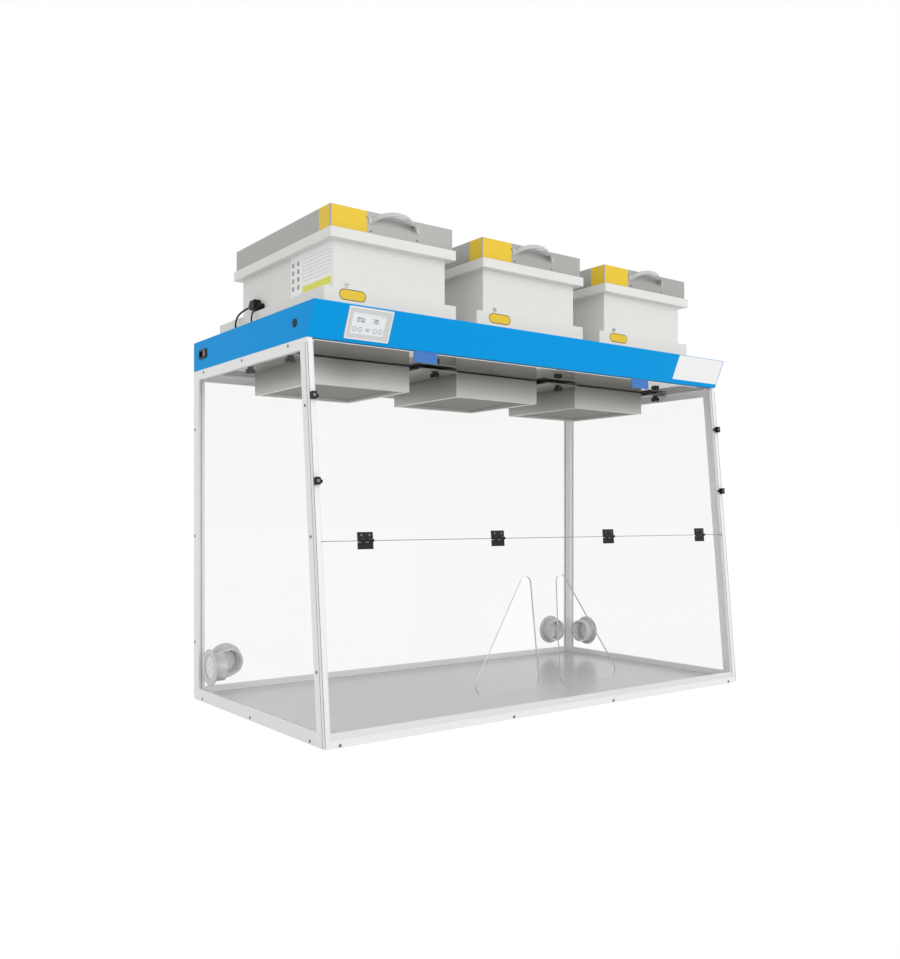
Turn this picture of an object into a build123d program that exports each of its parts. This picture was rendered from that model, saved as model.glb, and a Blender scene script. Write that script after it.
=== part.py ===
from build123d import *
import os
from math import atan2, cos, hypot, radians, sin, tan

os.makedirs("parts", exist_ok=True)

# Frame and chamber
width = 1600.0
base_depth = 829.0
frame_height = 1016.0
lean = 92.0
frame_wall = 15.0
front_post_deep = 40.0
rear_post_wide = 22.0
rear_post_deep = 38.0
base_rail_high = 35.0
door_step_height = 20.0
top_rail_high = 28.0
ledge_wide = 15.0
base_ledge_top = 9.0
top_ledge_thick = 4.0
top_ledge_front = 112.0

# Clear sheets and the grooves that hold them
sheet = 6.0
sheet_recess = 6.5
groove_depth = 8.0
sheet_end_gap = 0.5
groove_gap = 0.2
door_gap = 0.5
door_joint_height = 505.0
door_joint_gap = 2.0
door_corner = 3.0
sheet_top_gap = 4.0
stop_lip_wide = 5.0
stop_lip_thick = 4.0
stop_lip_gap = 1.0
stop_lip_top_gap = 6.0
stop_gap = 0.3

# Arm openings in the lower door, each a rounded triangle beside their shared centre line
arm_centre = -55.0
arm_top_offset = 52.0
arm_top_height = 438.0
arm_inner_offset = 39.5
arm_outer_offset = 294.0
arm_bottom_height = 77.0
arm_top_radius = 20.0
arm_bottom_radius = 25.0

# Worktop and ceiling
worktop_thick = 8.0
ceiling_thick = 3.0
fit_gap = 0.5

# Header
header_set_back = 89.0
header_overhang = 38.5
header_high = 89.3
header_wall = 2.0
header_flange = 28.0
header_edge_radius = 2.5

# Filter columns
column_end_gap = 78.9
column_gap = 74.6
plinth_front_gap = 96.5
plinth_high = 62.3
plinth_back = 12.0
column_wall = 2.0
corner_radius = 4.0
air_wide = 260.0
air_deep = 300.0
housing_side_step = 32.0
housing_front_step = 11.0
housing_high = 126.1
housing_back = 116.0
collar_overhang = 20.5
collar_front_overhang = 26.0
collar_high = 27.0
collar_back = 93.5
filter_side_step = 5.0
filter_front_step = 11.0
filter_back = 101.0
filter_high = 86.9
sample_port_radius = 6.0
sample_port_bore = 3.0
sample_port_long = 3.0
sample_port_across = 140.0
sample_port_rise = 12.0

# Grille in the top of a carbon filter
grille_margin = 14.0
grille_recess = 3.0
grille_slot_deep = 3.0
grille_rows = 12
grille_columns = 3
grille_bar = 10.0

# Carry handles of the filters
handle_span = 146.0
handle_reach = 30.0
handle_rise = 21.0
handle_height = 62.0
handle_shoulder = 0.45
handle_shoulder_rise = 0.85
strap_wide = 15.0
strap_thick = 3.0
handle_pad_wide = 20.0
handle_pad_high = 16.0
handle_pad_thick = 2.0

# Filter boxes under the ceiling
box_side_step = 17.5
box_shorter = 204.0
box_high = 74.4
box_back = 166.0
box_lip = 25.0
box_lip_thick = 3.0
box_lip_shorter = 51.0
mesh_margin = 15.0
mesh_recess = 9.0
pleat_count = 12
pleat_wide = 14.0
pleat_deep = 6.0
gasket_thick = 3.0
gasket_wide = 12.0
duct_margin = 20.0
duct_recess = 30.0

# Clamp bars and star knobs
clamp_thick = 4.0
clamp_hold = 8.0
clamp_end_gap = 31.0
clamp_past_knob = 20.0
clamp_hole = 4.6
knob_end_gap = 65.0
knob_front_gap = 8.0
knob_rear_gap = 109.0
stud_radius = 4.0
stud_gap = 0.08
stud_out = 2.0
nut_radius = 8.0
nut_high = 8.0
star_radius = 11.0
star_lobe = 3.8
star_lobes = 5
star_thick = 12.0
star_hub_radius = 9.0
star_hub_high = 6.0
turn_gap = 0.3

# Fans
nozzle_radius = 88.0
nozzle_throat = 78.0
nozzle_high = 11.0
nozzle_wall = 2.0
wheel_radius = 125.0
wheel_eye = 84.0
wheel_high = 52.0
wheel_plate = 2.5
wheel_lift = 8.0
blade_count = 7
blade_thick = 3.0
blade_inner = 86.0
blade_outer = 121.0
blade_sweep = 42.0
blade_curve = 0.8
hub_radius = 20.0
hub_long = 26.0
shaft_radius = 6.0
shaft_gap = 0.06
shaft_long = 34.0
motor_radius = 45.0
motor_high = 32.0
motor_gap = 4.0
bracket_wide = 40.0
bracket_thick = 4.0
bracket_foot = 18.0

# Hinges between the two front sheets
hinge_end_gap = 141.0
hinge_inner_share = 0.2775
leaf_wide = 46.0
leaf_high = 22.0
leaf_thick = 2.5
knuckle_radius = 4.0
knuckle_lift = 0.5
knuckle_count = 4
knuckle_gap = 0.4
pin_radius = 1.8
pin_gap = 0.06
leaf_screw_across = 12.0
leaf_screw_rise = 14.0

# Latch knobs on the front posts
latch_heights = {"upper": 868.0, "lower": 654.0}
latch_wide = 14.4
latch_high = 19.0
latch_thick = 12.0
latch_edge = 2.0
latch_nose = 9.0
latch_nose_high = 8.0
latch_nose_thick = 5.0
pivot_radius = 2.5
pivot_gap = 0.08
pivot_head_radius = 4.2
pivot_head_high = 2.5

# Cable ports
port_height = 110.0
port_end_gap = 103.0
port_side_back = 115.0
port_flange_radius = 55.0
port_flange_thick = 4.0
port_tube_radius = 42.5
port_bore_radius = 36.0
port_long = 40.0
port_seat_radius = 32.0
port_seat_thick = 3.0
port_hole_gap = 0.3
cap_thick = 5.0
cap_grip_wide = 9.0
cap_grip_long = 58.0
cap_grip_high = 3.0
cap_gap = 0.3

# Display on the sloping front of the header
display_end_gap = 167.5
display_rise = 50.0
display_wide = 135.0
display_tall = 85.0
display_thick = 3.0
display_corner = 5.0
display_body_wide = 118.0
display_body_tall = 70.0
display_body_deep = 14.0
screen_shift = -2.5
screen_wide = 100.0
screen_tall = 55.5
screen_recess = 0.8

# Power inlet with its rocker, on the left end of the header
inlet_back = 74.0
inlet_rise = 47.0
inlet_wide = 58.0
inlet_tall = 28.0
inlet_flange = 2.5
inlet_corner = 3.0
inlet_body_wide = 52.0
inlet_body_tall = 24.0
inlet_body_deep = 22.0
socket_wide = 24.0
socket_tall = 17.0
socket_deep = 15.0
socket_shift = -13.0
contact_wide = 4.0
contact_thick = 1.6
contact_long = 12.0
contact_pitch = 7.0
contact_drop = 3.0
switch_shift = 15.0
switch_wide = 14.0
switch_tall = 21.4
switch_deep = 9.0
rocker_half = 9.8
rocker_crown = 2.6
rocker_dip = 0.8
rocker_root = 4.5
rocker_root_half = 6.5

# Round blanking plug near the front of the left end
plug_front_gap = 68.0
plug_rise = 44.5
plug_radius = 11.0
plug_flange = 2.0
plug_shank = 8.0
plug_shank_long = 8.0
plug_gap = 0.1

# Tabs under the header that hold the top of the upper sheet
tab_end_gaps = (361.0, 383.0)
tab_wide = 78.0
tab_high = 31.0
tab_thick = 1.5

# Leads on the left column, from its plugs down to the header
power_plug_front = 243.5
power_plug_rise = 91.7
power_plug_wide = 24.0
power_plug_tall = 30.0
power_plug_long = 26.0
power_plug_taper = 20.0
power_plug_end_wide = 14.0
power_plug_end_tall = 18.0
relief_radius = 4.6
relief_long = 5.0
power_lead_radius = 2.75
signal_plug_back = 259.5
signal_plug_rise = 84.7
signal_plug_radius = 9.0
signal_plug_long = 15.0
signal_stub_radius = 4.2
signal_stub_long = 14.0
signal_stub_way = (-0.8, -0.25, -0.55)
signal_first_run = 13.0
signal_lead_radius = 2.5
bend_share = 0.45
grommet_radius = 7.0
grommet_high = 6.0
grommet_shank = 4.5
grommet_end_gap = 57.0
power_grommet_back = 183.5
signal_grommet_back = 296.5

# Screw heads
screw_radius = 4.0
screw_high = 1.0
leaf_screw_radius = 2.8
post_screw_heights = (845.0, 516.0, 184.0)
post_screw_inset = 26.0
rear_screw_heights = (836.0, 506.0, 177.0)
rear_screw_inset = 8.5
top_screw_shares = (0.092, 0.425, 0.765)
top_screw_drop = 9.4
base_screw_shares = (0.082, 0.49, 0.907)
base_screw_height = 8.0
front_screw_height = 6.0
front_screw_end_gap = 42.0
front_screw_share = 0.24875

# Values that follow from the sizes above
back_y = base_depth / 2
front_y = -base_depth / 2
side_x = width / 2
slope = hypot(1, lean / frame_height)
lean_angle = atan2(lean, frame_height)
front_plane = Plane(origin=(0, front_y, 0), x_dir=(1, 0, 0), z_dir=(0, -cos(lean_angle), sin(lean_angle)))
left_end = Plane(origin=(-side_x, 0, 0), x_dir=(0, -1, 0), z_dir=(-1, 0, 0))
inner_x = side_x - frame_wall
sheet_reach = groove_depth - sheet_end_gap
rear_post_front = back_y - rear_post_deep
header_top = frame_height + header_high
inlet_height = frame_height + inlet_rise
plug_height = frame_height + plug_rise
header_depth = base_depth - header_set_back
header_top_depth = header_depth + header_overhang
header_bottom_front = back_y - header_depth
header_top_front = back_y - header_top_depth
ceiling_under = frame_height - ceiling_thick
ceiling_front = front_y + lean + sheet + sheet_top_gap
door_joint = door_joint_height * slope
door_half = inner_x - door_gap
pin_lift = knuckle_radius + knuckle_lift
hinge_outer = side_x - hinge_end_gap
hinge_inner = side_x * hinge_inner_share
hinge_across = (-hinge_outer, -hinge_inner, hinge_inner, hinge_outer)
plinth_wide = (width - 2 * column_end_gap - 2 * column_gap) / 3
plinth_deep = header_top_depth - plinth_back - plinth_front_gap
column_pitch = plinth_wide + column_gap
columns = {"left": -column_pitch, "middle": 0.0, "right": column_pitch}
housing_wide = plinth_wide - 2 * housing_side_step
housing_deep = plinth_back + plinth_deep - housing_front_step - housing_back
collar_wide = housing_wide + 2 * collar_overhang
collar_deep = housing_back + housing_deep + collar_front_overhang - collar_back
filter_wide = collar_wide - 2 * filter_side_step
filter_deep = collar_back + collar_deep - filter_front_step - filter_back
box_wide = housing_wide - 2 * box_side_step
box_deep = housing_deep - box_shorter
box_lip_long = box_deep - box_lip_shorter
duct_wide = box_wide - 2 * duct_margin
duct_deep = box_deep - 2 * duct_margin
box_top = ceiling_under - gasket_thick
box_centre = back_y - box_back - box_deep / 2
clamp_top = box_top - box_lip_thick
box_lip_half = box_wide / 2 + box_lip
knob_top = clamp_top - clamp_thick - turn_gap
knob_inner_x = column_pitch / 2
knob_outer_x = side_x - knob_end_gap
knob_backs = (box_back + box_deep + knob_front_gap, box_back + knob_rear_gap)
knob_across = (-knob_outer_x, -knob_inner_x, knob_inner_x, knob_outer_x)
plinth_top = header_top + plinth_high
housing_top = plinth_top + housing_high
fan_centre = back_y - housing_back - housing_deep / 2
filter_bottom = housing_top + column_wall
filter_top = filter_bottom + filter_high
nozzle_plate_top = plinth_top + column_wall
wheel_bottom = nozzle_plate_top + wheel_lift
wheel_top = wheel_bottom + wheel_high
motor_bottom = wheel_top + motor_gap
motor_top = motor_bottom + motor_high
left_column_face = columns["left"] - housing_wide / 2
port_back_x = side_x - port_end_gap
display_x = display_end_gap - side_x
plug_back = header_depth - plug_front_gap
tab_across = (tab_end_gaps[0] - side_x, side_x - tab_end_gaps[1])
grommet_x = grommet_end_gap - side_x
power_plug_height = header_top + power_plug_rise
signal_plug_height = header_top + signal_plug_rise


def front_line(z):
    """Depth of the leaning front face at a height."""
    return front_y + z * lean / frame_height


def side_plane(side, x):
    """YZ plane at a distance from the middle, on the left (-1) or right (1)."""
    return Plane(origin=(side * x, 0, 0), x_dir=(0, 1, 0), z_dir=(1, 0, 0))


def block(x_range, y_range, z_range, mode=Mode.ADD):
    """Plain block between two corners, added to the part being built."""
    with BuildSketch(Plane.XY.offset(z_range[0])) as section:
        with Locations(((x_range[0] + x_range[1]) / 2, (y_range[0] + y_range[1]) / 2)):
            Rectangle(x_range[1] - x_range[0], y_range[1] - y_range[0])
    extrude(section.sketch, amount=z_range[1] - z_range[0], mode=mode)


def front_post_outline():
    """Side view of a front post."""
    with BuildLine() as outline:
        Polyline(
            (front_line(0), 0),
            (front_line(frame_height), frame_height),
            (front_line(frame_height) + front_post_deep, frame_height),
            (front_line(0) + front_post_deep, 0),
            close=True,
        )
    make_face(outline.line)


def side_sheet_outline(gap=0.0):
    """Side view of a clear side sheet, or of its groove."""
    low = base_rail_high - sheet_reach - gap
    high = frame_height - top_rail_high + sheet_reach + gap
    rear = rear_post_front + sheet_reach + gap
    front = front_post_deep - sheet_reach - gap
    with BuildLine() as outline:
        Polyline(
            (front_line(low) + front, low),
            (front_line(high) + front, high),
            (rear, high),
            (rear, low),
            close=True,
        )
    make_face(outline.line)


def side_groove(side):
    """Cut the groove for a side sheet."""
    with BuildSketch(side_plane(side, side_x - sheet_recess + groove_gap)) as groove:
        side_sheet_outline(sheet_end_gap)
    extrude(groove.sketch, amount=-side * (sheet + 2 * groove_gap), mode=Mode.SUBTRACT)


def back_sheet_outline(gap=0.0):
    """Front view of the clear back sheet, or of its groove."""
    low = base_rail_high - sheet_reach - gap
    high = frame_height - top_rail_high + sheet_reach + gap
    half = side_x - rear_post_wide + sheet_reach + gap
    with Locations((0, (low + high) / 2)):
        Rectangle(2 * half, high - low)


def back_groove():
    """Cut the groove for the back sheet."""
    with BuildSketch(Plane.XZ.offset(sheet_recess - groove_gap - back_y)) as groove:
        back_sheet_outline(sheet_end_gap)
    extrude(groove.sketch, amount=sheet + 2 * groove_gap, mode=Mode.SUBTRACT)


def cut_rear_corners(z_low, z_high, gap=0.0):
    """Notch the two rear corners for the posts that stand there."""
    for side in (-1, 1):
        reach = sorted((side * (side_x + 1), side * (side_x - rear_post_wide - gap)))
        block(reach, (rear_post_front - gap, back_y + 1), (z_low, z_high), Mode.SUBTRACT)


def cut_front_corners():
    """Notch the two front corners for the posts that stand there."""
    for side in (-1, 1):
        with BuildSketch(side_plane(side, inner_x)) as notch:
            front_post_outline()
        extrude(notch.sketch, amount=side * 2 * frame_wall, mode=Mode.SUBTRACT)


def save(part, name):
    """Label a finished piece and write its file."""
    part.label = name
    export_step(part, f"parts/{name}.step")


# Base frame: a ring with a ledge under the worktop and a step behind the door
with BuildPart() as base_frame:
    with BuildSketch():
        Rectangle(width, base_depth)
        Rectangle(width - 2 * (frame_wall + ledge_wide), base_depth - 2 * (frame_wall + ledge_wide),
                  mode=Mode.SUBTRACT)
    extrude(amount=base_rail_high)
    block((-inner_x, inner_x), (front_y + frame_wall, back_y - frame_wall),
          (base_ledge_top, base_rail_high), Mode.SUBTRACT)
    with BuildSketch(front_plane):
        Rectangle(width, 4 * base_rail_high)
    extrude(amount=2 * frame_wall, mode=Mode.SUBTRACT)
    with BuildSketch(front_plane):
        with Locations((0, door_step_height * slope + base_rail_high)):
            Rectangle(2 * inner_x, 2 * base_rail_high)
    extrude(amount=-(sheet + stop_gap), mode=Mode.SUBTRACT)
    cut_front_corners()
    cut_rear_corners(0, base_rail_high)
    side_groove(-1)
    side_groove(1)
    back_groove()
save(base_frame.part, "base_frame")

# Top frame: sides and back only, with a ledge under the ceiling plate
with BuildPart() as top_frame:
    top_rail_bottom = frame_height - top_rail_high
    with BuildSketch(Plane.XY.offset(top_rail_bottom)):
        Rectangle(width, base_depth)
        with Locations((0, -frame_wall)):
            Rectangle(2 * inner_x, base_depth, mode=Mode.SUBTRACT)
    extrude(amount=top_rail_high)
    with BuildSketch(Plane.XY.offset(ceiling_under - top_ledge_thick)):
        ledge_deep = base_depth - frame_wall - top_ledge_front
        with Locations((0, back_y - frame_wall - ledge_deep / 2)):
            Rectangle(2 * inner_x, ledge_deep)
        with Locations((0, back_y - frame_wall - ledge_wide - ledge_deep / 2)):
            Rectangle(2 * (inner_x - ledge_wide), ledge_deep, mode=Mode.SUBTRACT)
    extrude(amount=top_ledge_thick)
    for side in (-1, 1):
        with BuildSketch(side_plane(side, inner_x)):
            with BuildLine():
                Polyline(
                    (front_y, 0),
                    (front_y, frame_height),
                    (front_line(frame_height) + front_post_deep, frame_height),
                    (front_line(0) + front_post_deep, 0),
                    close=True,
                )
            make_face()
        extrude(amount=side * frame_wall, mode=Mode.SUBTRACT)
    cut_rear_corners(top_rail_bottom, frame_height)
    side_groove(-1)
    side_groove(1)
    back_groove()
save(top_frame.part, "top_frame")


def make_front_post(side):
    """Leaning front post with its stop lip and sheet groove."""
    lip_x = side * (inner_x - stop_lip_wide / 2)
    lip_low = (base_rail_high + stop_lip_gap) * slope
    lip_high = (frame_height - stop_lip_top_gap) * slope
    with BuildPart() as post:
        with BuildSketch(side_plane(side, inner_x)):
            front_post_outline()
        extrude(amount=side * frame_wall)
        with BuildSketch(front_plane.offset(-(sheet + stop_gap))):
            with Locations((lip_x, (lip_low + lip_high) / 2)):
                Rectangle(stop_lip_wide, lip_high - lip_low)
        extrude(amount=-stop_lip_thick)
        side_groove(side)
    return post.part


def make_rear_post(side):
    """Upright rear post with grooves for the side and back sheets."""
    reach = sorted((side * side_x, side * (side_x - rear_post_wide)))
    with BuildPart() as post:
        block(reach, (rear_post_front, back_y), (0, frame_height))
        side_groove(side)
        back_groove()
    return post.part


for side, side_name in ((-1, "left"), (1, "right")):
    save(make_front_post(side), f"front_post_{side_name}")
    save(make_rear_post(side), f"rear_post_{side_name}")

port_places = {
    "side_left": Plane(origin=(-(side_x - sheet_recess), back_y - port_side_back, port_height),
                       x_dir=(0, -1, 0), z_dir=(-1, 0, 0)),
    "side_right": Plane(origin=(side_x - sheet_recess, back_y - port_side_back, port_height),
                        x_dir=(0, 1, 0), z_dir=(1, 0, 0)),
    "back_left": Plane(origin=(-port_back_x, back_y - sheet_recess, port_height),
                       x_dir=(-1, 0, 0), z_dir=(0, 1, 0)),
    "back_right": Plane(origin=(port_back_x, back_y - sheet_recess, port_height),
                        x_dir=(-1, 0, 0), z_dir=(0, 1, 0)),
}


def cut_port_hole(place):
    """Round hole through a clear sheet."""
    with BuildSketch(port_places[place]) as hole:
        Circle(port_tube_radius + port_hole_gap)
    extrude(hole.sketch, amount=-sheet, mode=Mode.SUBTRACT)


for side, side_name in ((-1, "left"), (1, "right")):
    with BuildPart() as side_panel:
        with BuildSketch(side_plane(side, side_x - sheet_recess)):
            side_sheet_outline()
        extrude(amount=-side * sheet)
        cut_port_hole(f"side_{side_name}")
    save(side_panel.part, f"side_panel_{side_name}")

with BuildPart() as back_panel:
    with BuildSketch(Plane.XZ.offset(sheet_recess - back_y)):
        back_sheet_outline()
    extrude(amount=sheet)
    cut_port_hole("back_left")
    cut_port_hole("back_right")
save(back_panel.part, "back_panel")

# Upper front sheet, fixed between the posts
with BuildPart() as upper_front_panel:
    sheet_low = door_joint + door_joint_gap / 2
    sheet_high = (frame_height - sheet_top_gap) * slope
    with BuildSketch(front_plane):
        with Locations((0, (sheet_low + sheet_high) / 2)):
            Rectangle(2 * door_half, sheet_high - sheet_low)
    extrude(amount=-sheet)
save(upper_front_panel.part, "upper_front_panel")


def arm_outline(side):
    """Rounded triangle that one arm reaches through."""
    corners = (
        (arm_centre + side * arm_inner_offset, arm_bottom_height * slope),
        (arm_centre + side * arm_outer_offset, arm_bottom_height * slope),
        (arm_centre + side * arm_top_offset, arm_top_height * slope),
    )
    with BuildLine() as outline:
        FilletPolyline(*corners, radius=[arm_bottom_radius, arm_bottom_radius, arm_top_radius], close=True)
    make_face(outline.line, mode=Mode.SUBTRACT)


# Lower door with its two arm openings
with BuildPart() as lower_door:
    door_low = (door_step_height + 1) * slope
    door_high = door_joint - door_joint_gap / 2
    with BuildSketch(front_plane):
        with Locations((0, (door_low + door_high) / 2)):
            RectangleRounded(2 * door_half, door_high - door_low, door_corner)
        arm_outline(-1)
        arm_outline(1)
    extrude(amount=-sheet)
save(lower_door.part, "lower_door")

with BuildPart() as worktop:
    half_x = inner_x - fit_gap
    half_y = back_y - frame_wall - fit_gap
    block((-half_x, half_x), (-half_y, half_y), (base_ledge_top, base_ledge_top + worktop_thick))
    cut_rear_corners(base_ledge_top, base_ledge_top + worktop_thick, fit_gap)
save(worktop.part, "worktop")


def knob_points():
    """Places of the star knobs in plan."""
    return [(x, back_y - deep) for deep in knob_backs for x in knob_across]


# Ceiling plate with a duct over each filter box and a nut for each stud
with BuildPart() as ceiling_plate:
    block((-(inner_x - fit_gap), inner_x - fit_gap), (ceiling_front, back_y - frame_wall - fit_gap),
          (ceiling_under, frame_height))
    cut_rear_corners(ceiling_under, frame_height, fit_gap)
    with BuildSketch(Plane.XY.offset(ceiling_under)):
        with Locations(*[(x, box_centre) for x in columns.values()]):
            Rectangle(duct_wide, duct_deep)
        with Locations(*knob_points()):
            Circle(clamp_hole)
    extrude(amount=ceiling_thick, mode=Mode.SUBTRACT)
    with BuildSketch(Plane.XY.offset(frame_height)):
        with Locations(*knob_points()):
            Circle(nut_radius)
            Circle(stud_radius + stud_gap, mode=Mode.SUBTRACT)
    extrude(amount=nut_high)
save(ceiling_plate.part, "ceiling_plate")

fascia_rise = header_top - frame_height
fascia_back = header_bottom_front - header_top_front
fascia_angle = atan2(fascia_back, fascia_rise)
fascia_plane = Plane(origin=(0, header_bottom_front, frame_height), x_dir=(1, 0, 0),
                     z_dir=(0, -cos(fascia_angle), -sin(fascia_angle)))
power_grommet_y = back_y - power_grommet_back
signal_grommet_y = back_y - signal_grommet_back

# Header: folded sheet with a leaning fascia, open below to the ceiling ducts
with BuildPart() as header_shell:
    with BuildSketch(Plane.YZ.offset(-side_x)):
        with BuildLine():
            Polyline(
                (back_y, frame_height),
                (header_bottom_front, frame_height),
                (header_top_front, header_top),
                (back_y, header_top),
                close=True,
            )
        make_face()
    extrude(amount=width)
    long_edges = header_shell.edges().filter_by(Axis.X)
    fillet(long_edges.group_by(Axis.Z)[-1], header_edge_radius)
    with BuildSketch(Plane.YZ.offset(-side_x + header_wall)):
        with BuildLine():
            inner_shift = header_wall / cos(fascia_angle)
            low_front = header_bottom_front + inner_shift - header_wall * tan(fascia_angle)
            high_front = header_top_front + inner_shift + header_wall * tan(fascia_angle)
            Polyline(
                (back_y - header_wall, frame_height + header_wall),
                (low_front, frame_height + header_wall),
                (high_front, header_top - header_wall),
                (back_y - header_wall, header_top - header_wall),
                close=True,
            )
        make_face()
    extrude(amount=width - 2 * header_wall, mode=Mode.SUBTRACT)
    block((header_flange - side_x, side_x - header_flange),
          (header_bottom_front + header_flange, back_y - header_flange),
          (frame_height, frame_height + header_wall), Mode.SUBTRACT)
    with BuildSketch(Plane.XY.offset(header_top - header_wall)):
        with Locations(*[(x, fan_centre) for x in columns.values()]):
            Rectangle(air_wide, air_deep)
        with Locations((grommet_x, power_grommet_y), (grommet_x, signal_grommet_y)):
            Circle(grommet_shank + plug_gap)
    extrude(amount=header_wall, mode=Mode.SUBTRACT)
    with BuildSketch(fascia_plane):
        with Locations((display_x, display_rise)):
            Rectangle(display_body_wide + fit_gap, display_body_tall + fit_gap)
    extrude(amount=-2 * header_wall, mode=Mode.SUBTRACT)
    with BuildSketch(left_end):
        with Locations((inlet_back - back_y, inlet_height)):
            Rectangle(inlet_body_wide + fit_gap, inlet_body_tall + fit_gap)
        with Locations((plug_back - back_y, plug_height)):
            Circle(plug_shank + plug_gap)
    extrude(amount=-header_wall, mode=Mode.SUBTRACT)
save(header_shell.part, "header_shell")

with BuildPart() as display_unit:
    with BuildSketch(fascia_plane):
        with Locations((display_x, display_rise)):
            RectangleRounded(display_wide, display_tall, display_corner)
    extrude(amount=display_thick)
    with BuildSketch(fascia_plane):
        with Locations((display_x, display_rise)):
            Rectangle(display_body_wide, display_body_tall)
    extrude(amount=-display_body_deep)
    with BuildSketch(fascia_plane.offset(display_thick)):
        with Locations((display_x + screen_shift, display_rise)):
            Rectangle(screen_wide, screen_tall)
    extrude(amount=-screen_recess, mode=Mode.SUBTRACT)
    front_face = display_unit.faces().sort_by(Axis((0, 0, 0), tuple(fascia_plane.z_dir)))[-1]
    chamfer(front_face.outer_wire().edges(), screen_recess)
save(display_unit.part, "display_unit")

# Power inlet: flange, body, socket with its contacts and the switch well
inlet_centre = (inlet_back - back_y, inlet_height)
with BuildPart() as power_inlet:
    with BuildSketch(left_end):
        with Locations(inlet_centre):
            RectangleRounded(inlet_wide, inlet_tall, inlet_corner)
    extrude(amount=inlet_flange)
    with BuildSketch(left_end):
        with Locations(inlet_centre):
            Rectangle(inlet_body_wide, inlet_body_tall)
    extrude(amount=-inlet_body_deep)
    with BuildSketch(left_end.offset(inlet_flange)):
        with Locations((inlet_centre[0] + socket_shift, inlet_height)):
            RectangleRounded(socket_wide, socket_tall, inlet_corner)
    extrude(amount=-socket_deep, mode=Mode.SUBTRACT)
    with BuildSketch(left_end.offset(inlet_flange)):
        with Locations((inlet_centre[0] + switch_shift, inlet_height)):
            Rectangle(switch_wide, switch_tall)
    extrude(amount=-switch_deep, mode=Mode.SUBTRACT)
    with BuildSketch(left_end.offset(inlet_flange - socket_deep)):
        with Locations((inlet_centre[0] + socket_shift - contact_pitch, inlet_height - contact_drop),
                       (inlet_centre[0] + socket_shift, inlet_height + contact_drop),
                       (inlet_centre[0] + socket_shift + contact_pitch, inlet_height - contact_drop)):
            Rectangle(contact_thick, contact_wide)
    extrude(amount=contact_long)
save(power_inlet.part, "power_inlet")

with BuildPart() as power_rocker:
    rocker_wide = switch_wide - 2 * turn_gap
    rocker_side = -(inlet_centre[0] + switch_shift) - rocker_wide / 2
    face_x = -side_x - inlet_flange
    with BuildSketch(Plane(origin=(0, rocker_side, 0), x_dir=(-1, 0, 0), z_dir=(0, 1, 0))):
        with BuildLine():
            Polyline(
                (-face_x + rocker_crown, inlet_height - rocker_half),
                (-face_x + rocker_dip, inlet_height),
                (-face_x + rocker_crown, inlet_height + rocker_half),
                (-face_x - rocker_root, inlet_height + rocker_root_half),
                (-face_x - rocker_root, inlet_height - rocker_root_half),
                close=True,
            )
        make_face()
    extrude(amount=rocker_wide)
save(power_rocker.part, "power_rocker")

with BuildPart() as header_plug:
    with BuildSketch(left_end):
        with Locations((plug_back - back_y, plug_height)):
            Circle(plug_radius)
    extrude(amount=plug_flange)
    with BuildSketch(left_end):
        with Locations((plug_back - back_y, plug_height)):
            Circle(plug_shank)
    extrude(amount=-plug_shank_long)
save(header_plug.part, "header_plug")

with BuildPart() as panel_tabs:
    with BuildSketch(front_plane):
        with Locations(*[(x, (frame_height - tab_high / 2) * slope) for x in tab_across]):
            Rectangle(tab_wide, (tab_high + 2 * tab_thick) * slope)
    extrude(amount=tab_thick)
    block((-side_x, side_x), (front_y, back_y), (frame_height, header_top), Mode.SUBTRACT)
save(panel_tabs.part, "panel_tabs")

# Plinths: folded covers that carry the fan housings
with BuildPart() as plinths:
    plinth_centre = back_y - plinth_back - plinth_deep / 2
    with BuildSketch(Plane.XY.offset(header_top)):
        with Locations(*[(x, plinth_centre) for x in columns.values()]):
            RectangleRounded(plinth_wide, plinth_deep, corner_radius)
    extrude(amount=plinth_high)
    with BuildSketch(Plane.XY.offset(header_top)):
        with Locations(*[(x, plinth_centre) for x in columns.values()]):
            RectangleRounded(plinth_wide - 2 * column_wall, plinth_deep - 2 * column_wall,
                             corner_radius - column_wall)
    extrude(amount=plinth_high - column_wall, mode=Mode.SUBTRACT)
    with BuildSketch(Plane.XY.offset(plinth_top - column_wall)):
        with Locations(*[(x, fan_centre) for x in columns.values()]):
            Rectangle(air_wide, air_deep)
    extrude(amount=column_wall, mode=Mode.SUBTRACT)
save(plinths.part, "plinths")


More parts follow.
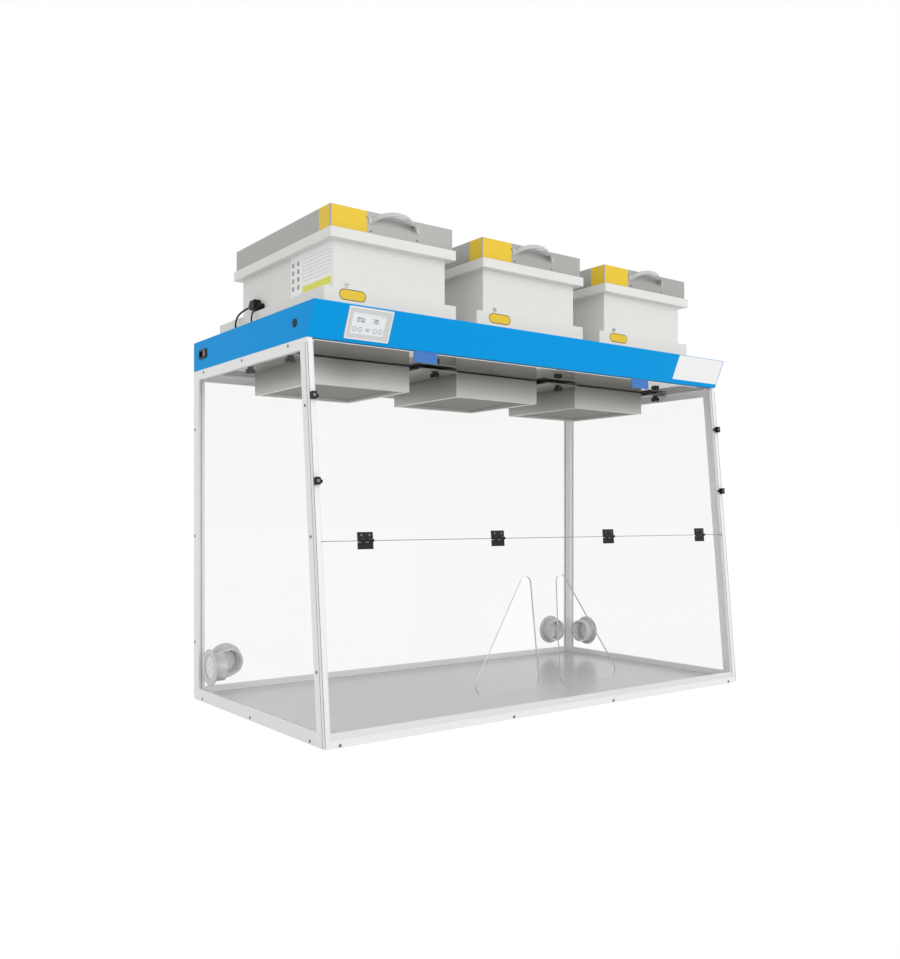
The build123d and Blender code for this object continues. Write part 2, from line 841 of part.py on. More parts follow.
def make_housing(x):
    """Fan housing with its inlet nozzle below and its filter collar above."""
    collar_centre = back_y - collar_back - collar_deep / 2
    with BuildPart() as housing:
        with BuildSketch(Plane.XY.offset(plinth_top)):
            with Locations((x, fan_centre)):
                RectangleRounded(housing_wide, housing_deep, corner_radius)
        extrude(amount=housing_high)
        with BuildSketch(Plane.XY.offset(housing_top)):
            with Locations((x, collar_centre)):
                RectangleRounded(collar_wide, collar_deep, corner_radius)
        extrude(amount=collar_high)
        with BuildSketch(Plane.XY.offset(nozzle_plate_top)):
            with Locations((x, fan_centre)):
                RectangleRounded(housing_wide - 2 * column_wall, housing_deep - 2 * column_wall,
                                 corner_radius - column_wall)
        extrude(amount=housing_high, mode=Mode.SUBTRACT)
        with BuildSketch(Plane.XY.offset(filter_bottom)):
            with Locations((x, collar_centre)):
                RectangleRounded(collar_wide - 2 * column_wall, collar_deep - 2 * column_wall,
                                 corner_radius - column_wall)
        extrude(amount=collar_high, mode=Mode.SUBTRACT)
        with BuildSketch(Plane.XY.offset(plinth_top)):
            with Locations((x, fan_centre)):
                Circle(nozzle_radius)
        extrude(amount=column_wall, mode=Mode.SUBTRACT)
        with BuildSketch(Plane(origin=(x, fan_centre, plinth_top), x_dir=(1, 0, 0), z_dir=(0, -1, 0))):
            with BuildLine():
                flare = nozzle_radius - nozzle_throat
                bend = flare - nozzle_wall
                half_turn = cos(radians(45))
                ThreePointArc((nozzle_radius, 0),
                              (nozzle_radius - flare * half_turn, flare - flare * half_turn),
                              (nozzle_throat, flare))
                Polyline((nozzle_throat, flare), (nozzle_throat, nozzle_high),
                         (nozzle_throat + nozzle_wall, nozzle_high), (nozzle_throat + nozzle_wall, flare))
                ThreePointArc((nozzle_throat + nozzle_wall, flare),
                              (nozzle_radius - bend * half_turn, flare - bend * half_turn),
                              (nozzle_radius, nozzle_wall))
                Line((nozzle_radius, nozzle_wall), (nozzle_radius, 0))
            make_face()
        revolve(axis=Axis((x, fan_centre, 0), (0, 0, 1)))
    return housing.part


def make_filter(x):
    """Carbon filter: a closed case with a recessed grille on top."""
    centre_y = back_y - filter_back - filter_deep / 2
    with BuildPart() as carbon_filter:
        with BuildSketch(Plane.XY.offset(filter_bottom)):
            with Locations((x, centre_y)):
                RectangleRounded(filter_wide, filter_deep, corner_radius)
        extrude(amount=filter_high)
        with BuildSketch(Plane.XY.offset(filter_top - grille_recess)):
            with Locations((x, centre_y)):
                Rectangle(filter_wide - 2 * grille_margin, filter_deep - 2 * grille_margin)
        extrude(amount=grille_recess, mode=Mode.SUBTRACT)
        pitch_x = (filter_wide - 2 * grille_margin - grille_bar) / grille_columns
        pitch_y = (filter_deep - 2 * grille_margin - grille_bar) / grille_rows
        with BuildSketch(Plane.XY.offset(filter_top - grille_recess - grille_slot_deep)):
            with Locations((x, centre_y)):
                with GridLocations(pitch_x, pitch_y, grille_columns, grille_rows):
                    SlotOverall(pitch_x - grille_bar, pitch_y - grille_bar)
        extrude(amount=grille_slot_deep, mode=Mode.SUBTRACT)
    return carbon_filter.part


def make_filter_box(x):
    """Filter box under the ceiling, with clamping lips and pleats below."""
    with BuildPart() as filter_box:
        with BuildSketch(Plane.XY.offset(box_top - box_high)):
            with Locations((x, box_centre)):
                RectangleRounded(box_wide, box_deep, corner_radius)
        extrude(amount=box_high)
        with BuildSketch(Plane.XY.offset(clamp_top)):
            with Locations((x, box_centre)):
                Rectangle(2 * box_lip_half, box_lip_long)
        extrude(amount=box_lip_thick)
        with BuildSketch(Plane.XY.offset(box_top - duct_recess)):
            with Locations((x, box_centre)):
                Rectangle(duct_wide, duct_deep)
        extrude(amount=duct_recess, mode=Mode.SUBTRACT)
        mesh_wide = box_wide - 2 * mesh_margin
        mesh_deep = box_deep - 2 * mesh_margin
        with BuildSketch(Plane.XY.offset(box_top - box_high)):
            with Locations((x, box_centre)):
                Rectangle(mesh_wide, mesh_deep)
        extrude(amount=mesh_recess, mode=Mode.SUBTRACT)
        with BuildSketch(Plane.XY.offset(box_top - box_high + mesh_recess)):
            with Locations((x, box_centre)):
                with GridLocations(mesh_wide / pleat_count, 0, pleat_count, 1):
                    Rectangle(pleat_wide, mesh_deep)
        extrude(amount=pleat_deep, mode=Mode.SUBTRACT)
    return filter_box.part


def make_impeller(x):
    """Backward-curved fan wheel: shroud ring, blades, back plate and hub."""
    middle = radians(blade_sweep / 2)
    swept = radians(blade_sweep)
    mean = (blade_inner + blade_outer) / 2
    with BuildSketch() as blade:
        with BuildLine():
            ThreePointArc(
                (blade_inner, 0),
                (mean * cos(middle * blade_curve), mean * sin(middle * blade_curve)),
                (blade_outer * cos(swept), blade_outer * sin(swept)),
            )
        trace(line_width=blade_thick)
    with BuildPart() as impeller:
        with BuildSketch(Plane.XY.offset(wheel_bottom)):
            with Locations((x, fan_centre)):
                Circle(wheel_radius)
                Circle(wheel_eye, mode=Mode.SUBTRACT)
        extrude(amount=wheel_plate)
        with BuildSketch(Plane.XY.offset(wheel_top - wheel_plate)):
            with Locations((x, fan_centre)):
                Circle(wheel_radius)
        extrude(amount=wheel_plate)
        with BuildSketch(Plane.XY.offset(wheel_bottom)):
            with Locations((x, fan_centre)):
                with PolarLocations(0, blade_count):
                    add(blade.sketch)
        extrude(amount=wheel_high)
        with BuildSketch(Plane.XY.offset(wheel_top - hub_long)):
            with Locations((x, fan_centre)):
                Circle(hub_radius)
        extrude(amount=hub_long)
        with BuildSketch(Plane.XY.offset(wheel_bottom)):
            with Locations((x, fan_centre)):
                Circle(shaft_radius + shaft_gap)
        extrude(amount=wheel_high, mode=Mode.SUBTRACT)
    return impeller.part


for column_name, column_x in columns.items():
    save(make_housing(column_x), f"fan_housing_{column_name}")
    save(make_filter(column_x), f"carbon_filter_{column_name}")
    save(make_filter_box(column_x), f"filter_box_{column_name}")
    save(make_impeller(column_x), f"impeller_{column_name}")

with BuildPart() as box_gaskets:
    with BuildSketch(Plane.XY.offset(box_top)):
        with Locations(*[(x, box_centre) for x in columns.values()]):
            Rectangle(duct_wide + 2 * gasket_wide, duct_deep + 2 * gasket_wide)
            Rectangle(duct_wide, duct_deep, mode=Mode.SUBTRACT)
    extrude(amount=gasket_thick)
save(box_gaskets.part, "box_gaskets")

# Fan motors: each hangs from a bracket across its housing
with BuildPart() as fan_motors:
    fan_points = [(x, fan_centre) for x in columns.values()]
    bracket_long = housing_wide - 2 * column_wall
    with BuildSketch(Plane.XY.offset(motor_bottom)):
        with Locations(*fan_points):
            Circle(motor_radius)
    extrude(amount=motor_high)
    with BuildSketch(Plane.XY.offset(motor_bottom - shaft_long)):
        with Locations(*fan_points):
            Circle(shaft_radius)
    extrude(amount=shaft_long)
    with BuildSketch(Plane.XY.offset(motor_top)):
        with Locations(*fan_points):
            Rectangle(bracket_long, bracket_wide)
    extrude(amount=bracket_thick)
    with BuildSketch(Plane.XY.offset(motor_top + bracket_thick - bracket_foot)):
        foot_shift = (bracket_long - bracket_thick) / 2
        with Locations(*[(x + side * foot_shift, fan_centre) for x in columns.values() for side in (-1, 1)]):
            Rectangle(bracket_thick, bracket_wide)
    extrude(amount=bracket_foot)
save(fan_motors.part, "fan_motors")

with BuildPart() as sample_ports:
    with BuildSketch(Plane.XZ.offset(housing_deep / 2 - fan_centre)):
        with Locations(*[(x - sample_port_across, plinth_top + sample_port_rise) for x in columns.values()]):
            Circle(sample_port_radius)
            Circle(sample_port_bore, mode=Mode.SUBTRACT)
    extrude(amount=sample_port_long)
save(sample_ports.part, "sample_ports")


def make_handle(x):
    """Bowed carry strap with a pad at each end, on the front of a filter."""
    face_y = back_y - filter_back - filter_deep
    anchor_z = filter_bottom + handle_height
    tilt = atan2(handle_rise, handle_reach)
    crown = hypot(handle_rise, handle_reach)
    strap_plane = Plane(origin=(x, face_y, anchor_z), x_dir=(1, 0, 0), z_dir=(0, sin(tilt), cos(tilt)))
    half = handle_span / 2
    with BuildPart() as handle:
        with BuildSketch(strap_plane.offset(-strap_wide / 2)):
            with BuildLine():
                shoulder = handle_shoulder * half
                shoulder_rise = -handle_shoulder_rise * crown
                Spline((-half, strap_thick), (-shoulder, shoulder_rise), (0, -crown),
                       (shoulder, shoulder_rise), (half, strap_thick))
            trace(line_width=strap_thick)
        extrude(amount=strap_wide)
        block((x - handle_span, x + handle_span), (face_y, back_y), (plinth_top, filter_top + handle_rise),
              Mode.SUBTRACT)
        with BuildSketch(Plane.XZ.offset(-face_y)):
            with Locations((x - half, anchor_z), (x + half, anchor_z)):
                RectangleRounded(handle_pad_wide, handle_pad_high, handle_pad_thick)
        extrude(amount=handle_pad_thick)
    return handle.part


filter_handles = Compound(children=[make_handle(x) for x in columns.values()])
save(filter_handles, "filter_handles")

# Clamp bars under the ceiling, one beside each lip
inner_edges = (box_lip_half - clamp_hold, column_pitch - box_lip_half + clamp_hold)
outer_edges = (column_pitch + box_lip_half - clamp_hold, side_x - clamp_end_gap)
clamp_rear = box_centre + box_lip_long / 2
clamp_front = back_y - knob_backs[0] - clamp_past_knob
with BuildPart() as clamp_bars:
    with BuildSketch(Plane.XY.offset(clamp_top - clamp_thick)):
        for low, high in (inner_edges, outer_edges):
            bar_centre = ((low + high) / 2, (clamp_front + clamp_rear) / 2)
            with Locations(bar_centre, (-bar_centre[0], bar_centre[1])):
                Rectangle(high - low, clamp_rear - clamp_front)
        with Locations(*knob_points()):
            Circle(clamp_hole, mode=Mode.SUBTRACT)
    extrude(amount=clamp_thick)
save(clamp_bars.part, "clamp_bars")


def make_star_knob(x, y):
    """Lobed knob with a hub above it and the stud that it turns."""
    hub_bottom = knob_top - star_hub_high
    stud_top = frame_height + nut_high + stud_out
    with BuildPart() as knob:
        with BuildSketch(Plane.XY.offset(hub_bottom - star_thick)):
            with Locations((x, y)):
                Circle(star_radius)
                with PolarLocations(star_radius, star_lobes):
                    Circle(star_lobe)
        extrude(amount=star_thick)
        with BuildSketch(Plane.XY.offset(hub_bottom)):
            with Locations((x, y)):
                Circle(star_hub_radius)
        extrude(amount=star_hub_high)
        with BuildSketch(Plane.XY.offset(knob_top)):
            with Locations((x, y)):
                Circle(stud_radius)
        extrude(amount=stud_top - knob_top)
    return knob.part


for number, (knob_x, knob_y) in enumerate(knob_points(), start=1):
    save(make_star_knob(knob_x, knob_y), f"star_knob_{number}")

knuckle_long = leaf_wide / knuckle_count


def hinge_half(x, side, first):
    """One leaf of a hinge with its knuckles, above (1) or below (-1) the pin."""
    clear = knuckle_radius + knuckle_gap
    tongues = [x - leaf_wide / 2 + (number + 0.5) * knuckle_long for number in range(first, knuckle_count, 2)]
    with BuildSketch(front_plane) as leaf:
        with Locations((x, door_joint + side * (clear + leaf_high) / 2)):
            Rectangle(leaf_wide, leaf_high - clear)
        with Locations(*[(tongue, door_joint + side * clear / 2) for tongue in tongues]):
            Rectangle(knuckle_long - knuckle_gap, clear)
    extrude(leaf.sketch, amount=leaf_thick)
    for tongue in tongues:
        knuckle_end = (tongue - (knuckle_long - knuckle_gap) / 2, door_joint, pin_lift)
        knuckle_plane = Plane(origin=front_plane.from_local_coords(knuckle_end), x_dir=(0, 1, 0), z_dir=(1, 0, 0))
        with BuildSketch(knuckle_plane) as knuckle:
            Circle(knuckle_radius)
        extrude(knuckle.sketch, amount=knuckle_long - knuckle_gap)


def pin_circle(x, radius, mode=Mode.ADD):
    """Hinge pin, or the bore for it, over the whole width of a hinge."""
    start = front_plane.from_local_coords((x - leaf_wide / 2, door_joint, pin_lift))
    with BuildSketch(Plane(origin=start, x_dir=(0, 1, 0), z_dir=(1, 0, 0))) as section:
        Circle(radius)
    extrude(section.sketch, amount=leaf_wide, mode=mode)


with BuildPart() as upper_hinge_halves:
    for hinge_x in hinge_across:
        hinge_half(hinge_x, 1, 0)
        pin_circle(hinge_x, pin_radius)
save(upper_hinge_halves.part, "upper_hinge_halves")

with BuildPart() as lower_hinge_leaves:
    for hinge_x in hinge_across:
        hinge_half(hinge_x, -1, 1)
        pin_circle(hinge_x, pin_radius + pin_gap, Mode.SUBTRACT)
save(lower_hinge_leaves.part, "lower_hinge_leaves")

latch_x = side_x - frame_wall / 2


def make_latch_knob(side, height):
    """Turning latch with a nose over the edge of the upper sheet."""
    with BuildPart() as latch:
        with BuildSketch(front_plane.offset(turn_gap)):
            with Locations((side * latch_x, height * slope)):
                RectangleRounded(latch_wide, latch_high, latch_edge)
        extrude(amount=latch_thick)
        with BuildSketch(front_plane.offset(turn_gap)):
            nose_long = latch_wide / 2 + latch_nose
            with Locations((side * (latch_x - nose_long / 2), height * slope)):
                Rectangle(nose_long, latch_nose_high)
        extrude(amount=latch_nose_thick)
        with BuildSketch(front_plane.offset(turn_gap)):
            with Locations((side * latch_x, height * slope)):
                Circle(pivot_radius + pivot_gap)
        extrude(amount=latch_thick, mode=Mode.SUBTRACT)
        with BuildSketch(front_plane.offset(latch_thick + turn_gap)):
            with Locations((side * latch_x, height * slope)):
                Circle(pivot_head_radius + turn_gap)
        extrude(amount=-(pivot_head_high + turn_gap), mode=Mode.SUBTRACT)
    return latch.part


for side, side_name in ((-1, "left"), (1, "right")):
    for latch_name, latch_height in latch_heights.items():
        save(make_latch_knob(side, latch_height), f"latch_knob_{side_name}_{latch_name}")


def make_port_ring(place):
    """Flanged tube through a clear sheet with a seat for its cap."""
    flange_face = port_places[place].offset(port_flange_thick)
    with BuildPart() as ring:
        with BuildSketch(port_places[place]):
            Circle(port_flange_radius)
        extrude(amount=port_flange_thick)
        with BuildSketch(port_places[place]):
            Circle(port_tube_radius)
        extrude(amount=-port_long)
        with BuildSketch(flange_face):
            Circle(port_seat_radius)
        extrude(amount=-2 * port_long, mode=Mode.SUBTRACT)
        with BuildSketch(flange_face):
            Circle(port_bore_radius)
        extrude(amount=-(cap_thick + cap_grip_high), mode=Mode.SUBTRACT)
        with BuildSketch(flange_face.offset(-(cap_thick + cap_grip_high + port_seat_thick))):
            Circle(port_bore_radius)
        extrude(amount=-port_long, mode=Mode.SUBTRACT)
    return ring.part


def make_port_cap(place):
    """Round cap with a grip bar, turned in its ring."""
    cap_face = port_places[place].offset(port_flange_thick - cap_grip_high)
    with BuildPart() as cap:
        with BuildSketch(cap_face):
            Circle(port_bore_radius - cap_gap)
        extrude(amount=-cap_thick)
        with BuildSketch(cap_face):
            SlotOverall(cap_grip_long, cap_grip_wide)
        extrude(amount=cap_grip_high)
    return cap.part


port_rings = Compound(children=[make_port_ring(place) for place in port_places])
save(port_rings, "port_rings")
for place in port_places:
    save(make_port_cap(place), f"port_cap_{place}")

# Screw heads on the frame, on the hinges and through the latches
side_screws = [(rear_screw_inset, height) for height in rear_screw_heights]
side_screws += [(share * base_depth, frame_height - top_screw_drop) for share in top_screw_shares]
side_screws += [(share * base_depth, base_screw_height) for share in base_screw_shares]
front_screws = [(side * across, front_screw_height) for side in (-1, 1)
                for across in (side_x * front_screw_share, side_x - front_screw_end_gap)]
with BuildPart() as frame_screws:
    for side in (-1, 1):
        with BuildSketch(side_plane(side, side_x)):
            with Locations(*[(back_y - deep, height) for deep, height in side_screws]):
                Circle(screw_radius)
            with Locations(*[(front_line(height) + post_screw_inset, height)
                             for height in post_screw_heights]):
                Circle(screw_radius)
        extrude(amount=side * screw_high)
    with BuildSketch(front_plane):
        with Locations(*front_screws):
            Circle(screw_radius)
    extrude(amount=screw_high)
    with BuildSketch(front_plane.offset(leaf_thick)):
        with Locations(*[(x + side * leaf_screw_across, door_joint + leaf_screw_rise)
                         for x in hinge_across for side in (-1, 1)]):
            Circle(leaf_screw_radius)
    extrude(amount=screw_high)
    latch_points = [(side * latch_x, height * slope) for side in (-1, 1) for height in latch_heights.values()]
    with BuildSketch(front_plane):
        with Locations(*latch_points):
            Circle(pivot_radius)
    extrude(amount=latch_thick)
    with BuildSketch(front_plane.offset(latch_thick + turn_gap)):
        with Locations(*latch_points):
            Circle(pivot_head_radius)
    extrude(amount=-pivot_head_high)
save(frame_screws.part, "frame_screws")

plug_front_y = back_y - power_plug_front
plug_end_y = plug_front_y + power_plug_long + power_plug_taper
plug_x = left_column_face - power_plug_wide / 2
signal_y = back_y - signal_plug_back
signal_x = left_column_face - signal_plug_long + signal_stub_radius
stub_way = Vector(*signal_stub_way).normalized()
stub_start = Vector(signal_x, signal_y, signal_plug_height)
stub_end = stub_start + stub_way * signal_stub_long
lead_end_z = header_top + grommet_high

# Plugs on the left column and the grommets in the header
with BuildPart() as lead_fittings:
    with BuildSketch(Plane.XZ.offset(-plug_front_y)):
        with Locations((plug_x, power_plug_height)):
            RectangleRounded(power_plug_wide, power_plug_tall, corner_radius)
    extrude(amount=-power_plug_long)
    with BuildSketch(Plane.XZ.offset(-plug_front_y - power_plug_long)):
        with Locations((plug_x, power_plug_height)):
            RectangleRounded(power_plug_wide, power_plug_tall, corner_radius)
    with BuildSketch(Plane.XZ.offset(-plug_end_y)):
        with Locations((plug_x, power_plug_height)):
            RectangleRounded(power_plug_end_wide, power_plug_end_tall, corner_radius)
    loft()
    with BuildSketch(Plane.XZ.offset(-plug_end_y)):
        with Locations((plug_x, power_plug_height)):
            Circle(relief_radius)
    extrude(amount=-relief_long)
    with BuildSketch(side_plane(1, left_column_face)):
        with Locations((signal_y, signal_plug_height)):
            Circle(signal_plug_radius)
    extrude(amount=-signal_plug_long)
    with BuildSketch(Plane(origin=stub_start, z_dir=stub_way)):
        Circle(signal_stub_radius)
    extrude(amount=signal_stub_long)
    with BuildSketch(Plane.XY.offset(header_top)):
        with Locations((grommet_x, power_grommet_y), (grommet_x, signal_grommet_y)):
            Circle(grommet_radius)
    extrude(amount=grommet_high)
    with BuildSketch(Plane.XY.offset(header_top)):
        with Locations((grommet_x, power_grommet_y), (grommet_x, signal_grommet_y)):
            Circle(grommet_shank)
    extrude(amount=-header_wall)
save(lead_fittings.part, "lead_fittings")


def bend_radii(points):
    """Largest tangent arc at each corner of a lead's route."""
    radii = []
    for before, corner, after in zip(points, points[1:], points[2:]):
        run_in = Vector(*corner) - Vector(*before)
        run_out = Vector(*after) - Vector(*corner)
        turn = radians(run_in.get_angle(run_out))
        radii.append(bend_share * min(run_in.length, run_out.length) / tan(turn / 2))
    return radii


def make_lead(points, radius):
    """Round lead along straight runs joined by tangent arcs."""
    radii = bend_radii(points)
    print("bend radii", [round(value, 1) for value in radii])
    with BuildPart() as lead:
        with BuildLine() as route:
            FilletPolyline(*points, radius=radii)
        with BuildSketch(Plane(origin=points[0], z_dir=route.line % 0)):
            Circle(radius)
        sweep(path=route.line)
    return lead.part


power_route = [
    (plug_x, plug_end_y + relief_long, power_plug_height),
    (plug_x, back_y - 178.5, power_plug_height),
    (90.0 - side_x, back_y - 166.5, header_top + 84.7),
    (77.0 - side_x, back_y - 162.5, header_top + 72.7),
    (66.0 - side_x, back_y - 167.5, header_top + 55.7),
    (59.5 - side_x, back_y - 176.5, header_top + 36.7),
    (grommet_x, power_grommet_y, header_top + 19.2),
    (grommet_x, power_grommet_y, lead_end_z),
]
signal_route = [
    tuple(stub_end),
    tuple(stub_end + stub_way * signal_first_run),
    (66.5 - side_x, back_y - 274.5, header_top + 51.7),
    (59.5 - side_x, back_y - 286.5, header_top + 34.2),
    (grommet_x, signal_grommet_y, header_top + 18.7),
    (grommet_x, signal_grommet_y, lead_end_z),
]
save(make_lead(power_route, power_lead_radius), "fan_lead")
save(make_lead(signal_route, signal_lead_radius), "signal_lead")
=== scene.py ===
from math import atan2, cos, hypot, pi, radians, sin, tan

import bmesh
import bpy
from mathutils import Matrix, Vector


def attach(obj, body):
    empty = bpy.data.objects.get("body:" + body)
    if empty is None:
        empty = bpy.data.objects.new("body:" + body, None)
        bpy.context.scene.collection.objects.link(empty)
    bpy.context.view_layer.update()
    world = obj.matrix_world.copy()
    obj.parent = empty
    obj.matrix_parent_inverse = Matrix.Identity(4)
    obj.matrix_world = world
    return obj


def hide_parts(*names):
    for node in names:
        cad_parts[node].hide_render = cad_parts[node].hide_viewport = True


bl_info = {
    "name": "Ductless fume hood",
    "version": (1, 0, 0),
    "blender": (4, 5, 0),
    "location": "View3D > Sidebar > Fume hood",
    "description": "Finishes, labels and small fittings of a ductless fume hood around its packed frame",
    "category": "Object",
}

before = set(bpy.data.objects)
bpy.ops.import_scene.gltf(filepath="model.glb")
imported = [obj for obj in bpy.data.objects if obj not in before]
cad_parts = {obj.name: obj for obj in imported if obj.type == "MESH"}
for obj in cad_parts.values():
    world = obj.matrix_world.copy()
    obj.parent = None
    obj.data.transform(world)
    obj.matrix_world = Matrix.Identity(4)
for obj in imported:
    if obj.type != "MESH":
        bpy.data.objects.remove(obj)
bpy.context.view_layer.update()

MM = 0.001

# Frame, in millimetres: the front leans back by LEAN over the frame's height
BACK_Y = 414.5
FRONT_Y = -414.5
SIDE_X = 800.0
FRAME_HIGH = 1016.0
LEAN = 92.0
LEAN_ANGLE = atan2(LEAN, FRAME_HIGH)
SLOPE = hypot(1.0, LEAN / FRAME_HIGH)
SHEET_THICK = 6.0

# Header's slanted front
FASCIA_FRONT = BACK_Y - 740.0
FASCIA_RUN = 38.5
FASCIA_RISE = 89.3
FASCIA_ANGLE = atan2(FASCIA_RUN, FASCIA_RISE)
DISPLAY_PLACE = (-632.5, 50.0)
SCREEN_PLACE = (-635.0, 50.0)
SCREEN_THICK = 0.3
SCREEN_FRONT = 2.5
INK_THICK = 0.1
HEADER_PLATE_PLACE = (683.0, 54.0)

# Filter columns
COLUMN_CENTRES = {"left": -505.6, "middle": 0.0, "right": 505.6}
PLINTH_FRONT = BACK_Y - 12.0 - 670.0
COLLAR_TOP = 1320.7
FILTER_TOP = 1382.6
FILTER_FRONT = BACK_Y - 101.0 - 585.0
FILTER_HALF = 199.0
HOUSING_SIDE = -689.1
BOX_CENTRE = BACK_Y - 166.0 - 175.5
BOX_BOTTOM = 935.6
BOX_MESH_RISE = 8.5

# Front sheets: arm openings as (distance from their shared centre, height, corner radius)
DOOR_JOINT = 505.0 * SLOPE
ARM_CENTRE = -55.0
ARM_CORNERS = ((39.5, 77.0, 25.0), (294.0, 77.0, 25.0), (52.0, 438.0, 20.0))

# Leads on the left column, from plug to grommet
FAN_ROUTE = (
    (-701.1, 222.0, 1197.0), (-701.1, 236.0, 1197.0), (-710.0, 248.0, 1190.0), (-723.0, 252.0, 1178.0),
    (-734.0, 247.0, 1161.0), (-740.5, 238.0, 1142.0), (-743.0, 231.0, 1124.5), (-743.0, 231.0, 1111.3))
SIGNAL_ROUTE = (
    (-711.07, 151.51, 1182.32), (-721.45, 148.27, 1175.19), (-733.5, 140.0, 1157.0),
    (-740.5, 128.0, 1139.5), (-743.0, 118.0, 1124.0), (-743.0, 118.0, 1111.3))


class HoodSizes(bpy.types.PropertyGroup):
    """Sizes of the pieces that the scene adds, in millimetres"""

    label_thick: bpy.props.FloatProperty(
        name="Label thickness", description="Thickness of a stuck-on label in mm", default=0.35, min=0.1)
    corner_label_front: bpy.props.FloatProperty(
        name="Corner label front", description="Width of a yellow corner label on a filter's front in mm",
        default=111.0)
    corner_label_side: bpy.props.FloatProperty(
        name="Corner label side", description="Width of a yellow corner label on a filter's side in mm",
        default=60.0)
    tag_wide: bpy.props.FloatProperty(
        name="Tag width", description="Width of the oval tag on a plinth in mm", default=82.0)
    tag_high: bpy.props.FloatProperty(
        name="Tag height", description="Height of the oval tag on a plinth in mm", default=29.0)
    plate_wide: bpy.props.FloatProperty(
        name="Plate width", description="Width of the bare plate on the header in mm", default=228.0)
    plate_high: bpy.props.FloatProperty(
        name="Plate height", description="Height of the bare plate along the header's slope in mm",
        default=82.0)


class HoodColours(bpy.types.PropertyGroup):
    """Main colours of the hood"""

    header: bpy.props.FloatVectorProperty(
        name="Header", description="Colour of the header's coat", subtype="COLOR", size=3,
        default=(0.0, 0.335, 0.8))
    frame_white: bpy.props.FloatVectorProperty(
        name="Frame", description="Colour of the frame's coat", subtype="COLOR", size=3,
        default=(0.88, 0.88, 0.875))
    housing: bpy.props.FloatVectorProperty(
        name="Housing", description="Colour of the fan housings and plinths", subtype="COLOR", size=3,
        default=(0.79, 0.79, 0.765))
    filter_case: bpy.props.FloatVectorProperty(
        name="Filter case", description="Colour of the carbon filters", subtype="COLOR", size=3,
        default=(0.4, 0.4, 0.385))
    label: bpy.props.FloatVectorProperty(
        name="Label", description="Colour of the labels on the filters", subtype="COLOR", size=3,
        default=(0.84, 0.57, 0.012))


def sizes():
    """Sizes set in the sidebar."""
    return bpy.context.scene.hood_sizes


def colours():
    """Colours set in the sidebar."""
    return bpy.context.scene.hood_colours


def put(tree, kind, inputs=None, **settings):
    """Add a node, set its options, and link or fill its inputs."""
    node = tree.nodes.new(kind)
    for key, value in settings.items():
        setattr(node, key, value)
    for key, value in (inputs or {}).items():
        if isinstance(value, bpy.types.NodeSocket):
            tree.links.new(value, node.inputs[key])
        else:
            node.inputs[key].default_value = value
    return node


def colour4(colour):
    """Opaque RGBA of an RGB colour."""
    return (colour[0], colour[1], colour[2], 1.0)


def coat_group():
    """Painted or moulded surface: slow shade drift and fine grain."""
    name = "Surface grain"
    if name in bpy.data.node_groups:
        return bpy.data.node_groups[name]
    group = bpy.data.node_groups.new(name, "ShaderNodeTree")
    for socket, kind, default in (("Colour", "NodeSocketColor", (0.8, 0.8, 0.8, 1.0)),
                                  ("Drift scale", "NodeSocketFloat", 3.0),
                                  ("Drift amount", "NodeSocketFloat", 0.04),
                                  ("Grain scale", "NodeSocketFloat", 700.0),
                                  ("Roughness", "NodeSocketFloat", 0.4),
                                  ("Roughness spread", "NodeSocketFloat", 0.08)):
        made = group.interface.new_socket(socket, in_out="INPUT", socket_type=kind)
        made.default_value = default
    for socket, kind in (("Colour", "NodeSocketColor"), ("Roughness", "NodeSocketFloat"),
                         ("Height", "NodeSocketFloat")):
        group.interface.new_socket(socket, in_out="OUTPUT", socket_type=kind)
    source = put(group, "NodeGroupInput")
    place = put(group, "ShaderNodeTexCoord")
    drift = put(group, "ShaderNodeTexNoise", {
        "Vector": place.outputs["Object"], "Scale": source.outputs["Drift scale"], "Detail": 3.0})
    grain = put(group, "ShaderNodeTexNoise", {
        "Vector": place.outputs["Object"], "Scale": source.outputs["Grain scale"], "Detail": 2.0})
    centred = put(group, "ShaderNodeMath", {0: drift.outputs["Fac"], 1: 0.5}, operation="SUBTRACT")
    swing = put(group, "ShaderNodeMath", {0: centred.outputs[0], 1: source.outputs["Drift amount"]},
                operation="MULTIPLY")
    value = put(group, "ShaderNodeMath", {0: swing.outputs[0], 1: 1.0}, operation="ADD")
    shaded = put(group, "ShaderNodeHueSaturation", {
        "Color": source.outputs["Colour"], "Value": value.outputs[0]})
    rough_swing = put(group, "ShaderNodeMath", {0: centred.outputs[0], 1: source.outputs["Roughness spread"]},
                      operation="MULTIPLY")
    rough = put(group, "ShaderNodeMath", {0: rough_swing.outputs[0], 1: source.outputs["Roughness"]},
                operation="ADD", use_clamp=True)
    result = put(group, "NodeGroupOutput")
    group.links.new(shaded.outputs[0], result.inputs["Colour"])
    group.links.new(rough.outputs[0], result.inputs["Roughness"])
    group.links.new(grain.outputs["Fac"], result.inputs["Height"])
    return group


def main_nodes(material):
    """A material's Principled shader and its output."""
    nodes = material.node_tree.nodes
    return (next(node for node in nodes if node.type == "BSDF_PRINCIPLED"),
            next(node for node in nodes if node.type == "OUTPUT_MATERIAL"))


def new_material(name):
    """Empty node material with its Principled shader."""
    material = bpy.data.materials.new(name)
    material.use_nodes = True
    shader, output = main_nodes(material)
    return material, material.node_tree, shader, output


def seen_directly(tree):
    """1 on rays that show a surface or the sky to the camera: straight, mirrored or through a clear sheet."""
    rays = put(tree, "ShaderNodeLightPath")
    seen = put(tree, "ShaderNodeMath", {0: rays.outputs["Is Camera Ray"], 1: rays.outputs["Is Glossy Ray"]},
               operation="MAXIMUM")
    shown = put(tree, "ShaderNodeMath", {0: seen.outputs[0], 1: rays.outputs["Is Transmission Ray"]},
                operation="MAXIMUM")
    return shown.outputs[0]


